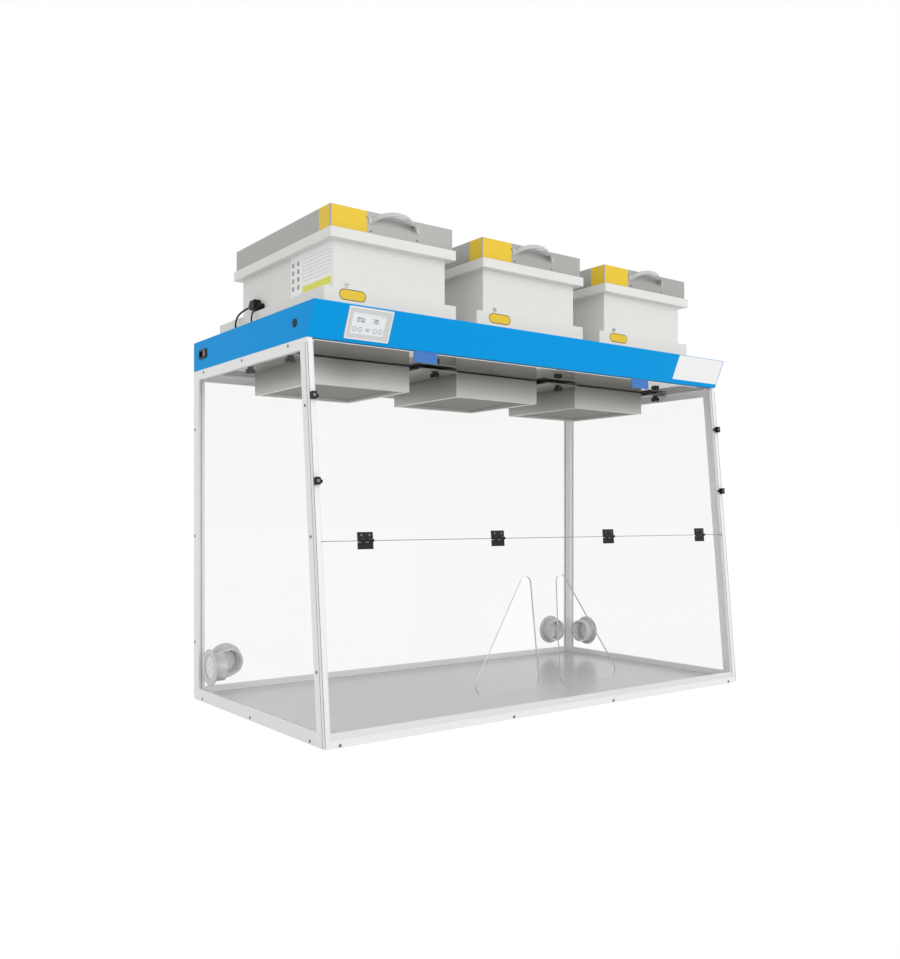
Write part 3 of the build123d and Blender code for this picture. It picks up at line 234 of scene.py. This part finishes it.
def grained_material(name, colour, roughness, drift=0.04, drift_scale=3.0, grain=700.0, depth=0.02,
                     spread=0.08, metallic=0.0, coat=0.0, specular=0.5):
    """Material from the shared surface grain."""
    if name in bpy.data.materials:
        return bpy.data.materials[name]
    material, tree, shader, output = new_material(name)
    surface = put(tree, "ShaderNodeGroup", node_tree=coat_group())
    surface.inputs["Colour"].default_value = colour4(colour)
    surface.inputs["Drift scale"].default_value = drift_scale
    surface.inputs["Drift amount"].default_value = drift
    surface.inputs["Grain scale"].default_value = grain
    surface.inputs["Roughness"].default_value = roughness
    surface.inputs["Roughness spread"].default_value = spread
    bump = put(tree, "ShaderNodeBump", {
        "Height": surface.outputs["Height"], "Strength": depth, "Distance": MM})
    tree.links.new(surface.outputs["Colour"], shader.inputs["Base Color"])
    tree.links.new(surface.outputs["Roughness"], shader.inputs["Roughness"])
    tree.links.new(bump.outputs["Normal"], shader.inputs["Normal"])
    shader.inputs["Metallic"].default_value = metallic
    shader.inputs["Coat Weight"].default_value = coat
    shader.inputs["Specular IOR Level"].default_value = specular
    return material


def clear_material():
    """Clear acrylic sheet: clean transmission, and a clear way for the light that falls through it.

    The IOR is well under acrylic's 1.49, because the photograph's sheets show almost no reflections.
    """
    name = "Clear acrylic"
    if name in bpy.data.materials:
        return bpy.data.materials[name]
    material, tree, shader, output = new_material(name)
    shader.inputs["Base Color"].default_value = (0.962, 0.962, 0.96, 1.0)
    shader.inputs["Roughness"].default_value = 0.0
    shader.inputs["IOR"].default_value = 1.12
    shader.inputs["Transmission Weight"].default_value = 1.0
    rays = put(tree, "ShaderNodeLightPath")
    clear = put(tree, "ShaderNodeBsdfTransparent", {"Color": (0.97, 0.97, 0.97, 1.0)})
    either = put(tree, "ShaderNodeMath", {
        0: rays.outputs["Is Shadow Ray"], 1: rays.outputs["Is Diffuse Ray"]}, operation="MAXIMUM")
    mixed = put(tree, "ShaderNodeMixShader", {
        0: either.outputs[0], 1: shader.outputs[0], 2: clear.outputs[0]})
    tree.links.new(mixed.outputs[0], output.inputs["Surface"])
    return material


def blue_material():
    """Saturated blue coat that throws a neutral light back on what stands on it."""
    material = grained_material("Blue coat", colours().header, 0.5, drift=0.03, drift_scale=2.5, grain=900.0,
                                specular=0.08)
    tree = material.node_tree
    if "Neutral bounce" in tree.nodes:
        return material
    shader, output = main_nodes(material)
    rays = put(tree, "ShaderNodeLightPath")
    plain = put(tree, "ShaderNodeBsdfDiffuse", {"Color": (0.5, 0.52, 0.54, 1.0)},
                name="Neutral bounce")
    mixed = put(tree, "ShaderNodeMixShader", {
        0: rays.outputs["Is Diffuse Ray"], 1: shader.outputs[0], 2: plain.outputs[0]})
    tree.links.new(mixed.outputs[0], output.inputs["Surface"])
    return material


def painted_shade_material(name, low, high, low_colour, high_colour, roughness, metallic=0.0, specular=0.5):
    """Coat with painted shade: its colour goes from one colour at a height to another above it, in metres."""
    if name in bpy.data.materials:
        return bpy.data.materials[name]
    material, tree, shader, output = new_material(name)
    place = put(tree, "ShaderNodeTexCoord")
    parts = put(tree, "ShaderNodeSeparateXYZ", {0: place.outputs["Object"]})
    share = put(tree, "ShaderNodeMapRange", {
        "Value": parts.outputs["Z"], "From Min": low, "From Max": high})
    mixed = put(tree, "ShaderNodeMix", {"Factor": share.outputs[0]}, data_type="RGBA")
    mixed.inputs[6].default_value = colour4(low_colour)
    mixed.inputs[7].default_value = colour4(high_colour)
    tree.links.new(mixed.outputs[2], shader.inputs["Base Color"])
    shader.inputs["Roughness"].default_value = roughness
    shader.inputs["Metallic"].default_value = metallic
    shader.inputs["Specular IOR Level"].default_value = specular
    return material


def dress(material, *nodes):
    """Give a material to CAD nodes."""
    for node in nodes:
        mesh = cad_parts[node].data
        mesh.materials.clear()
        mesh.materials.append(material)


def finish_piece(bm, name, material, body, smooth=False):
    """Turn a bmesh, in millimetres, into a piece that rides on a body."""
    bmesh.ops.remove_doubles(bm, verts=bm.verts, dist=0.0005)
    bmesh.ops.recalc_face_normals(bm, faces=bm.faces)
    bmesh.ops.scale(bm, vec=(MM, MM, MM), verts=bm.verts)
    mesh = bpy.data.meshes.new(name)
    bm.to_mesh(mesh)
    bm.free()
    for face in mesh.polygons:
        face.use_smooth = smooth
    piece = bpy.data.objects.new(name, mesh)
    bpy.context.scene.collection.objects.link(piece)
    mesh.materials.append(material)
    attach(piece, body)


def placed(origin, right, up):
    """Matrix of a flat face: x to the right, y up, z out of it."""
    right = Vector(right).normalized()
    up = Vector(up).normalized()
    out = right.cross(up)
    matrix = Matrix((right, up, out)).transposed().to_4x4()
    matrix.translation = Vector(origin)
    return matrix


FRONT_FACE = placed((0.0, FRONT_Y, 0.0), (1, 0, 0), (0, sin(LEAN_ANGLE), cos(LEAN_ANGLE)))
FASCIA_FACE = placed((0.0, FASCIA_FRONT, FRAME_HIGH), (1, 0, 0),
                     (0, -sin(FASCIA_ANGLE), cos(FASCIA_ANGLE)))


def add_slab(bm, matrix, centre, size, radius=0.0, edge=0.0, segments=6):
    """Rounded flat slab on a face: its back lies on the face's plane at the centre's height."""
    made = bmesh.ops.create_cube(bm, size=1.0)
    verts = made["verts"]
    bmesh.ops.scale(bm, vec=size, verts=verts)
    bmesh.ops.translate(bm, vec=(0, 0, size[2] / 2), verts=verts)
    edges = {edge for vert in verts for edge in vert.link_edges}
    if radius:
        corners = [e for e in edges if abs(e.verts[0].co.z - e.verts[1].co.z) > size[2] / 2]
        made = bmesh.ops.bevel(bm, geom=corners, offset=radius, offset_type="OFFSET", affect="EDGES",
                               segments=segments, profile=0.5, material=-1)
        verts = list({v for face in made["faces"] for v in face.verts} | {v for v in verts if v.is_valid})
    if edge:
        top = max(v.co.z for v in verts)
        rims = [e for e in {e for v in verts for e in v.link_edges}
                if all(abs(v.co.z - top) < 1e-4 for v in e.verts) and e.calc_face_angle(0.0) > 0.5]
        made = bmesh.ops.bevel(bm, geom=rims, offset=edge, offset_type="OFFSET", affect="EDGES", segments=2,
                               profile=0.5, material=-1)
        verts = list({v for face in made["faces"] for v in face.verts} | {v for v in verts if v.is_valid})
    bmesh.ops.transform(bm, matrix=matrix @ Matrix.Translation(centre), verts=verts)


class HOOD_OT_stage(bpy.types.Operator):
    """Floor, backdrop light, lamps and the camera at the photograph's angle"""

    bl_idname = "hood.stage"
    bl_label = "Stage"

    def execute(self, context):
        scene = context.scene
        scene.view_settings.view_transform = "Standard"
        world = bpy.data.worlds.new("Studio")
        scene.world = world
        world.use_nodes = True
        tree = world.node_tree
        tree.nodes.clear()
        strength = put(tree, "ShaderNodeMapRange", {
            "Value": seen_directly(tree), "To Min": 0.8, "To Max": 1.0})
        light = put(tree, "ShaderNodeBackground", {
            "Color": (1.0, 1.0, 1.0, 1.0), "Strength": strength.outputs[0]})
        output = put(tree, "ShaderNodeOutputWorld")
        tree.links.new(light.outputs[0], output.inputs["Surface"])
        self.floor(scene)
        for name, place, aim, size, power in (
                ("Key", (0.6, -5.2, 2.2), (0.0, 0.0, 0.8), 4.5, 70.0),
                ("Fill", (-5.0, -2.0, 1.8), (0.0, 0.0, 0.8), 4.0, 8.0),
                ("Top", (0.0, 0.0, 4.6), (0.0, 0.0, 0.9), 4.0, 16.0)):
            lamp = bpy.data.lights.new(name, "AREA")
            lamp.energy = power
            lamp.size = size
            made = bpy.data.objects.new(name, lamp)
            made.location = place
            made.rotation_euler = (Vector(aim) - Vector(place)).to_track_quat("-Z", "Y").to_euler()
            scene.collection.objects.link(made)
        self.camera(scene)
        return {"FINISHED"}

    def floor(self, scene):
        """White floor that keeps a faint shadow."""
        bm = bmesh.new()
        half_wide = 40.0
        bmesh.ops.create_grid(bm, x_segments=1, y_segments=1, size=half_wide)
        mesh = bpy.data.meshes.new("floor")
        bm.to_mesh(mesh)
        bm.free()
        floor = bpy.data.objects.new("floor", mesh)
        scene.collection.objects.link(floor)
        material, tree, shader, output = new_material("Pale floor")
        shader.inputs["Base Color"].default_value = (0.8, 0.8, 0.8, 1.0)
        shader.inputs["Roughness"].default_value = 0.9
        shader.inputs["Specular IOR Level"].default_value = 0.0
        share = put(tree, "ShaderNodeMath", {0: seen_directly(tree), 1: 0.95}, operation="MULTIPLY")
        white = put(tree, "ShaderNodeEmission", {"Color": (1.0, 1.0, 1.0, 1.0), "Strength": 1.03})
        mixed = put(tree, "ShaderNodeMixShader", {
            0: share.outputs[0], 1: shader.outputs[0], 2: white.outputs[0]})
        tree.links.new(mixed.outputs[0], output.inputs["Surface"])
        mesh.materials.append(material)

    def camera(self, scene):
        """Camera level with the chamber, shifted up as the photograph's framing needs."""
        image_high = 959
        focal_px = 953.12
        horizon_below_centre = 37.05
        yaw = 36.746
        place = (-1.9378, -2.4433, 0.5664)
        sensor = 36.0
        data = bpy.data.cameras.new("Camera")
        data.sensor_width = sensor
        data.lens = focal_px * sensor / image_high
        data.shift_y = horizon_below_centre / image_high
        camera = bpy.data.objects.new("Camera", data)
        camera.location = place
        camera.rotation_euler = (pi / 2, 0.0, -radians(yaw))
        scene.collection.objects.link(camera)
        scene.camera = camera


class HOOD_OT_frame_finish(bpy.types.Operator):
    """White coat on the frame, clear sheets, worktop and the polished ceiling"""

    bl_idname = "hood.frame_finish"
    bl_label = "Frame and chamber"

    def execute(self, context):
        white = grained_material("White coat", colours().frame_white, 0.32, drift=0.02, coat=0.1)
        dress(white, "base_frame", "front_post_left", "front_post_right", "rear_post_left", "rear_post_right",
              "top_frame")
        bars = grained_material("Clamp bar coat", (0.3, 0.29, 0.27), 0.3, drift=0.03, metallic=0.8)
        dress(bars, "clamp_bars")
        dress(clear_material(), "side_panel_left", "side_panel_right", "back_panel", "upper_front_panel",
              "lower_door")
        top = grained_material("Worktop laminate", (0.52, 0.53, 0.535), 0.22, drift=0.05, drift_scale=2.0,
                               grain=1500.0, depth=0.01, specular=0.6)
        dress(top, "worktop")
        polished = grained_material("Polished ceiling", (0.25, 0.243, 0.225), 0.06, drift=0.06,
                                    drift_scale=4.0, grain=300.0, depth=0.002, spread=0.04, metallic=1.0)
        dress(polished, "ceiling_plate")
        self.edge_strips()
        return {"FINISHED"}

    def edge_strips(self):
        """The sheets' cut edges round the arm openings, their joint, and painted shade in the grooves of the
        front posts.
        """
        pale = grained_material("Sheet edge", (0.6, 0.61, 0.62), 0.3, drift=0.02)
        for name, side in (("left", -1), ("right", 1)):
            outline = arm_outline(side)
            set_back = 0.2
            bm = bmesh.new()
            front, rear = ([bm.verts.new(FRONT_FACE @ Vector((x, y, depth))) for x, y in outline]
                           for depth in (-set_back, set_back - SHEET_THICK))
            for first in range(len(outline)):
                second = (first + 1) % len(outline)
                bm.faces.new((front[first], front[second], rear[second], rear[first]))
            finish_piece(bm, f"arm_edge_{name}", pale, "door", smooth=True)
        shade = grained_material("Sheet joint", (0.1, 0.1, 0.105), 0.5)
        bm = bmesh.new()
        joint_back = 0.3
        add_slab(bm, FRONT_FACE, (0.0, DOOR_JOINT - 0.2, joint_back - SHEET_THICK),
                 (1568.0, 1.5, SHEET_THICK - 2 * joint_back))
        finish_piece(bm, "door_joint_line", shade, "door")
        # Painted shade: thin dark strips over the front posts' grooves, on the front face and on the side
        # face, stand in for the shade inside them.
        groove = grained_material("Post groove", (0.2, 0.2, 0.21), 0.5)
        middle, long, wide = 506.0, 1004.0, 1.6
        bm = bmesh.new()
        for side in (-1, 1):
            add_slab(bm, FRONT_FACE, (side * (SIDE_X - 1.0), middle, 0.0), (wide, long, 0.15))
            add_slab(bm, FRONT_FACE, (side * (SIDE_X + 0.1), middle, -13.0), (0.3, long, wide))
        finish_piece(bm, "post_groove_painted_shade", groove, "hood")


def arm_outline(side):
    """Points round one arm opening on the front face, in millimetres, just inside its cut edge."""
    corners = [(ARM_CENTRE + side * reach, high * SLOPE, radius) for reach, high, radius in ARM_CORNERS]
    inset = 0.3
    steps = 10
    points = []
    for number, (x, y, radius) in enumerate(corners):
        here = Vector((x, y))
        before = (Vector(corners[number - 1][:2]) - here).normalized()
        after = (Vector(corners[(number + 1) % 3][:2]) - here).normalized()
        half = before.angle(after) / 2
        centre = here + (before + after).normalized() * radius / sin(half)
        start = here + before * radius / tan(half) - centre
        end = here + after * radius / tan(half) - centre
        turn = start.angle_signed(end)
        for step in range(steps + 1):
            arm = start.copy()
            arm.rotate(Matrix.Rotation(-turn * step / steps, 2))
            points.append(tuple(centre + arm * (radius - inset) / radius))
    return points


class HOOD_OT_header_finish(bpy.types.Operator):
    """Blue header with its tabs, display unit, inlet and blanking plug"""

    bl_idname = "hood.header_finish"
    bl_label = "Header"

    def execute(self, context):
        dress(blue_material(), "header_shell")
        # Painted shade: the tabs are the header's blue painted darker, for the shade under the fascia.
        shaded_tab_blue = grained_material("Tab coat", (0.03, 0.17, 0.52), 0.5, drift=0.03)
        dress(shaded_tab_blue, "panel_tabs")
        bezel = grained_material("Display bezel", (0.66, 0.66, 0.65), 0.35, drift=0.02)
        dress(bezel, "display_unit")
        self.display()
        black = black_plastic()
        dress(black, "power_inlet", "header_plug")
        red = grained_material("Red rocker", (0.16, 0.008, 0.008), 0.25, drift=0.02, coat=0.3)
        dress(red, "power_rocker")
        return {"FINISHED"}

    def display(self):
        """Bright rim, lit screen, and what it shows: two readings in digits and four round keys."""
        rim = grained_material("Display rim", (0.9, 0.9, 0.9), 0.3, drift=0.01)
        bm = bmesh.new()
        wide, tall, edge, front = 133.0, 83.0, 3.0, 3.0
        for x, y, w, h in ((0, tall / 2 - edge / 2, wide, edge), (0, edge / 2 - tall / 2, wide, edge),
                           (edge / 2 - wide / 2, 0, edge, tall - 2 * edge),
                           (wide / 2 - edge / 2, 0, edge, tall - 2 * edge)):
            add_slab(bm, FASCIA_FACE, (DISPLAY_PLACE[0] + x, DISPLAY_PLACE[1] + y, front), (w, h, 0.3))
        finish_piece(bm, "display_rim", rim, "hood")
        screen = grained_material("Screen", (0.84, 0.88, 0.9), 0.12, drift=0.01, depth=0.0)
        bm = bmesh.new()
        recess_floor = 2.2
        add_slab(bm, FASCIA_FACE, (*SCREEN_PLACE, recess_floor), (99.4, 54.9, SCREEN_THICK))
        finish_piece(bm, "screen", screen, "hood")
        ink = grained_material("Screen ink", (0.06, 0.07, 0.09), 0.4)
        bm = bmesh.new()
        for text, x, y, high in (("0.50", -35.0, 5.0, 9.0), ("20", 15.0, 5.0, 9.0)):
            self.digits(bm, text, SCREEN_PLACE[0] + x, SCREEN_PLACE[1] + y, high)
        for x, y, wide in ((-29.0, 15.0, 16.0), (19.0, 15.0, 20.0), (40.0, 23.0, 10.0), (0.0, -12.0, 14.0),
                           (0.0, -15.0, 14.0), (0.0, -18.0, 10.0), (-15.0, 4.0, 5.0), (31.0, 4.0, 4.0)):
            self.stroke(bm, SCREEN_PLACE[0] + x, SCREEN_PLACE[1] + y, wide, 0.9)
        keys_down = 15.0
        for x in (-39.0, -22.0, 22.0, 39.0):
            self.ring(bm, SCREEN_PLACE[0] + x, SCREEN_PLACE[1] - keys_down, 6.4, 5.4)
            self.stroke(bm, SCREEN_PLACE[0] + x, SCREEN_PLACE[1] - keys_down, 4.0, 0.9)
        finish_piece(bm, "screen_ink", ink, "hood")

    def stroke(self, bm, x, y, wide, high):
        """Thin dark mark on the screen."""
        add_slab(bm, FASCIA_FACE, (x, y, SCREEN_FRONT), (wide, high, INK_THICK))

    def digits(self, bm, text, x, y, high):
        """Seven-bar digits from a point to the right."""
        wide = high * 0.5
        bar = high * 0.16
        half = high / 2
        places = {"a": (wide / 2, high, wide, bar), "g": (wide / 2, half, wide, bar),
                  "d": (wide / 2, 0, wide, bar),
                  "f": (0, high * 0.75, bar, half), "b": (wide, high * 0.75, bar, half),
                  "e": (0, high * 0.25, bar, half), "c": (wide, high * 0.25, bar, half)}
        bars = {"0": "abcdef", "2": "abged", "5": "afgcd"}
        for letter in text:
            if letter == ".":
                self.stroke(bm, x, y, bar, bar)
                x += wide * 0.5
                continue
            for key in bars[letter]:
                dx, dy, w, h = places[key]
                self.stroke(bm, x + dx, y + dy, w, h)
            x += wide * 1.6

    def ring(self, bm, x, y, outer, inner):
        """Flat ring on the screen."""
        steps = 24
        height = SCREEN_FRONT + 0.08
        turns = [2 * pi * k / steps for k in range(steps)]
        loops = [[bm.verts.new(FASCIA_FACE @ Vector((x + radius * cos(turn), y + radius * sin(turn), height)))
                  for turn in turns] for radius in (outer, inner)]
        for k in range(steps):
            after = (k + 1) % steps
            bm.faces.new((loops[0][k], loops[0][after], loops[1][after], loops[1][k]))


def black_plastic():
    """Black moulded plastic."""
    return grained_material("Black plastic", (0.009, 0.009, 0.01), 0.5, drift=0.1, drift_scale=20.0,
                            grain=1800.0, depth=0.05, specular=0.25)


class HOOD_OT_columns_finish(bpy.types.Operator):
    """Plinths, fan housings, carbon filters, handles and the filter boxes below"""

    bl_idname = "hood.columns_finish"
    bl_label = "Filter columns"

    def execute(self, context):
        shell = grained_material("Housing coat", colours().housing, 0.42, drift=0.03, drift_scale=2.0,
                                 specular=0.3)
        dress(shell, "plinths", "fan_housing_left", "fan_housing_middle", "fan_housing_right")
        case = grained_material("Filter case coat", colours().filter_case, 0.36, drift=0.06, drift_scale=3.0,
                                metallic=0.35, spread=0.12)
        dress(case, "carbon_filter_left", "carbon_filter_middle", "carbon_filter_right")
        # Painted shade: the filter boxes fade from their warm grey at the foot to a dark grey at the top, for
        # the shade and dark reflection under the ceiling.
        painted_shade_low, painted_shade_high = 0.942, 1.006
        box = painted_shade_material("Filter box coat", painted_shade_low, painted_shade_high, (0.66, 0.645, 0.61),
                              (0.27, 0.262, 0.243), 0.32, metallic=0.25)
        dress(box, "filter_box_left", "filter_box_middle", "filter_box_right")
        foam = grained_material("Foam gasket", (0.02, 0.02, 0.02), 0.9, grain=2500.0, depth=0.3)
        dress(foam, "box_gaskets")
        strap = grained_material("Handle strap", (0.52, 0.53, 0.52), 0.3, drift=0.04, coat=0.2)
        dress(strap, "filter_handles")
        dark = grained_material("Motor coat", (0.05, 0.05, 0.055), 0.5)
        dress(dark, "fan_motors", "impeller_left", "impeller_middle", "impeller_right")
        for name, centre in COLUMN_CENTRES.items():
            self.rivets(name, centre)
            self.filter_mesh(name, centre)
        return {"FINISHED"}

    def rivets(self, name, centre):
        """Small dark rivets round the handle on a filter's front."""
        rivet = grained_material("Dark rivet", (0.12, 0.12, 0.12), 0.35, metallic=0.8)
        front = placed((centre, FILTER_FRONT, 0.0), (1, 0, 0), (0, 0, 1))
        low, high = 1331.0, 1366.0
        bm = bmesh.new()
        for x, z, radius in ((-75.0, low, 2.4), (75.0, low, 2.4), (-88.0, high, 2.0), (60.0, high, 1.6)):
            add_slab(bm, front, (x, z, 0.0), (2 * radius, 2 * radius, 1.0), radius - 0.05, 0.3, segments=5)
        finish_piece(bm, f"filter_rivets_{name}", rivet, "hood", smooth=True)

    def filter_mesh(self, name, centre):
        """Fine mesh just inside a filter box's mouth."""
        shade = grained_material("Filter mesh", (0.27, 0.262, 0.24), 0.6, drift=0.06, drift_scale=400.0,
                                 grain=1200.0, depth=0.3)
        below = placed((centre, BOX_CENTRE, BOX_BOTTOM + BOX_MESH_RISE), (1, 0, 0), (0, -1, 0))
        bm = bmesh.new()
        add_slab(bm, below, (0.0, 0.0, 0.0), (301.0, 320.0, 0.4))
        finish_piece(bm, f"filter_mesh_{name}", shade, "hood")


class HOOD_OT_fittings_finish(bpy.types.Operator):
    """Knobs, hinges, latches, ports, screws and leads"""

    bl_idname = "hood.fittings_finish"
    bl_label = "Fittings"

    def execute(self, context):
        black = black_plastic()
        knobs = [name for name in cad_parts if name.startswith(("star_knob", "latch_knob"))]
        dress(black, "upper_hinge_halves", "lower_hinge_leaves", "lead_fittings", *knobs)
        ring = grained_material("Port ring", (0.88, 0.89, 0.89), 0.25, drift=0.03, coat=0.2)
        main_nodes(ring)[0].inputs["Transmission Weight"].default_value = 0.5
        dress(ring, "port_rings")
        cap = grained_material("Port cap", (0.8, 0.81, 0.81), 0.3, drift=0.03)
        dress(cap, *[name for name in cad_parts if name.startswith("port_cap")])
        screw = grained_material("Dark screw", (0.16, 0.16, 0.165), 0.35, metallic=0.8, drift=0.1,
                                 drift_scale=60.0)
        dress(screw, "frame_screws")
        plated = grained_material("Plated fitting", (0.45, 0.45, 0.46), 0.3, metallic=1.0, drift=0.1,
                                  drift_scale=60.0)
        dress(plated, "sample_ports")
        self.lead("fan_lead", FAN_ROUTE, 5.5, 0.121, black)
        self.lead("signal_lead", SIGNAL_ROUTE, 5.0, 0.089, black)
        return {"FINISHED"}

    def lead(self, node, route, diameter, length, material):
        """Short lead as a smooth tube along its route, in place of its CAD node."""
        curve = bpy.data.curves.new(f"{node}_curve", "CURVE")
        curve.dimensions = "3D"
        curve.resolution_u = 12
        curve.bevel_depth = diameter * MM / 2
        curve.bevel_resolution = 4
        curve.use_fill_caps = True
        spline = curve.splines.new("NURBS")
        spline.points.add(len(route) - 1)
        for point, place in zip(spline.points, route):
            point.co = (*(value * MM for value in place), 1.0)
        spline.order_u = 3
        spline.use_endpoint_u = True
        piece = bpy.data.objects.new(f"{node}_tube", curve)
        bpy.context.scene.collection.objects.link(piece)
        curve.materials.append(material)
        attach(piece, "hood")
        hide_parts(node)


class HOOD_OT_labels(bpy.types.Operator):
    """Bare labels, tags and plates"""

    bl_idname = "hood.labels"
    bl_label = "Labels and plates"

    def execute(self, context):
        size = sizes()
        yellow = grained_material("Yellow label", colours().label, 0.4, drift=0.03)
        dark = grained_material("Tag border", (0.015, 0.012, 0.01), 0.5, specular=0.2)
        white = grained_material("White label", (0.93, 0.93, 0.93), 0.4, drift=0.01)
        for side_name, centre in COLUMN_CENTRES.items():
            self.corner_label(side_name, centre, size, yellow)
            self.oval_tag(side_name, centre, size, yellow, dark)
        bm = bmesh.new()
        add_slab(bm, FASCIA_FACE, (*HEADER_PLATE_PLACE, 0.0),
                 (size.plate_wide, size.plate_high, size.label_thick), 1.0)
        finish_piece(bm, "header_plate", white, "hood")
        self.notice_card(white)
        return {"FINISHED"}

    def notice_card(self, white):
        """Ruled card on the left housing's side, with a coloured band along its foot."""
        side = placed((HOUSING_SIDE, -137.5, 1236.0), (0, -1, 0), (0, 0, 1))
        card, ink_thick = 0.3, 0.1
        bm = bmesh.new()
        add_slab(bm, side, (0.0, 0.0, 0.0), (232.0, 118.0, card))
        finish_piece(bm, "notice_card", white, "hood")
        ink = grained_material("Card rule", (0.35, 0.37, 0.35), 0.6)
        bm = bmesh.new()
        for row in range(7):
            add_slab(bm, side, (32.0, 38.0 - 10.0 * row, card), (150.0, 0.8, ink_thick))
        for column in (-43.0, 0.0, 107.0):
            add_slab(bm, side, (column, 8.0, card), (0.8, 60.0, ink_thick))
        for row in range(4):
            for column in (-102.0, -72.0):
                add_slab(bm, side, (column, 34.0 - 22.0 * row, card), (13.0, 13.0, ink_thick), 2.0)
        finish_piece(bm, "card_rules", ink, "hood")
        band = grained_material("Card band", (0.78, 0.8, 0.1), 0.5)
        bm = bmesh.new()
        add_slab(bm, side, (32.0, -45.0, card), (160.0, 20.0, ink_thick))
        finish_piece(bm, "card_band", band, "hood")

    def corner_label(self, side_name, centre, size, material):
        """Label that wraps the front left corner of a filter."""
        low = COLLAR_TOP + 1.0
        high = FILTER_TOP - 0.5
        corner_gap = 2.0
        corner_x = centre - FILTER_HALF
        bm = bmesh.new()
        front = placed((corner_x, FILTER_FRONT, low), (1, 0, 0), (0, 0, 1))
        add_slab(bm, front, (size.corner_label_front / 2 + corner_gap, (high - low) / 2, 0.0),
                 (size.corner_label_front - 2 * corner_gap, high - low, size.label_thick))
        side = placed((corner_x, FILTER_FRONT, low), (0, -1, 0), (0, 0, 1))
        add_slab(bm, side, (-size.corner_label_side / 2 - corner_gap, (high - low) / 2, 0.0),
                 (size.corner_label_side - 2 * corner_gap, high - low, size.label_thick))
        finish_piece(bm, f"corner_label_{side_name}", material, "hood")

    def oval_tag(self, side_name, centre, size, material, border):
        """Bare oval tag on a plinth's front."""
        face = placed((centre - 129.0, PLINTH_FRONT, 1151.5), (1, 0, 0), (0, 0, 1))
        bm = bmesh.new()
        add_slab(bm, face, (0.0, 0.0, 0.0), (size.tag_wide, size.tag_high, size.label_thick),
                 size.tag_high / 2 - 0.1, segments=12)
        finish_piece(bm, f"tag_border_{side_name}", border, "hood")
        bm = bmesh.new()
        rim = 1.8
        add_slab(bm, face, (0.0, 0.0, 0.1),
                 (size.tag_wide - 2 * rim, size.tag_high - 2 * rim, size.label_thick),
                 size.tag_high / 2 - rim - 0.1, segments=12)
        finish_piece(bm, f"tag_{side_name}", material, "hood")


class HOOD_PT_sidebar(bpy.types.Panel):
    """Lists the hood's operators and values"""

    bl_idname = "HOOD_PT_sidebar"
    bl_label = "Fume hood"
    bl_space_type = "VIEW_3D"
    bl_region_type = "UI"
    bl_category = "Fume hood"

    def draw(self, context):
        layout = self.layout
        for group in (context.scene.hood_sizes, context.scene.hood_colours):
            for name in group.__annotations__:
                layout.prop(group, name)
        for operator in OPERATORS:
            layout.operator(operator.bl_idname)


OPERATORS = (
    HOOD_OT_stage,
    HOOD_OT_frame_finish,
    HOOD_OT_header_finish,
    HOOD_OT_columns_finish,
    HOOD_OT_fittings_finish,
    HOOD_OT_labels,
)
CLASSES = (HoodSizes, HoodColours, *OPERATORS, HOOD_PT_sidebar)


def register():
    for cls in CLASSES:
        bpy.utils.register_class(cls)
    bpy.types.Scene.hood_sizes = bpy.props.PointerProperty(type=HoodSizes)
    bpy.types.Scene.hood_colours = bpy.props.PointerProperty(type=HoodColours)


def unregister():
    del bpy.types.Scene.hood_colours
    del bpy.types.Scene.hood_sizes
    for cls in reversed(CLASSES):
        bpy.utils.unregister_class(cls)


def main():
    register()
    for operator in OPERATORS:
        group, name = operator.bl_idname.split(".")
        getattr(getattr(bpy.ops, group), name)()


if __name__ == "__main__":
    main()
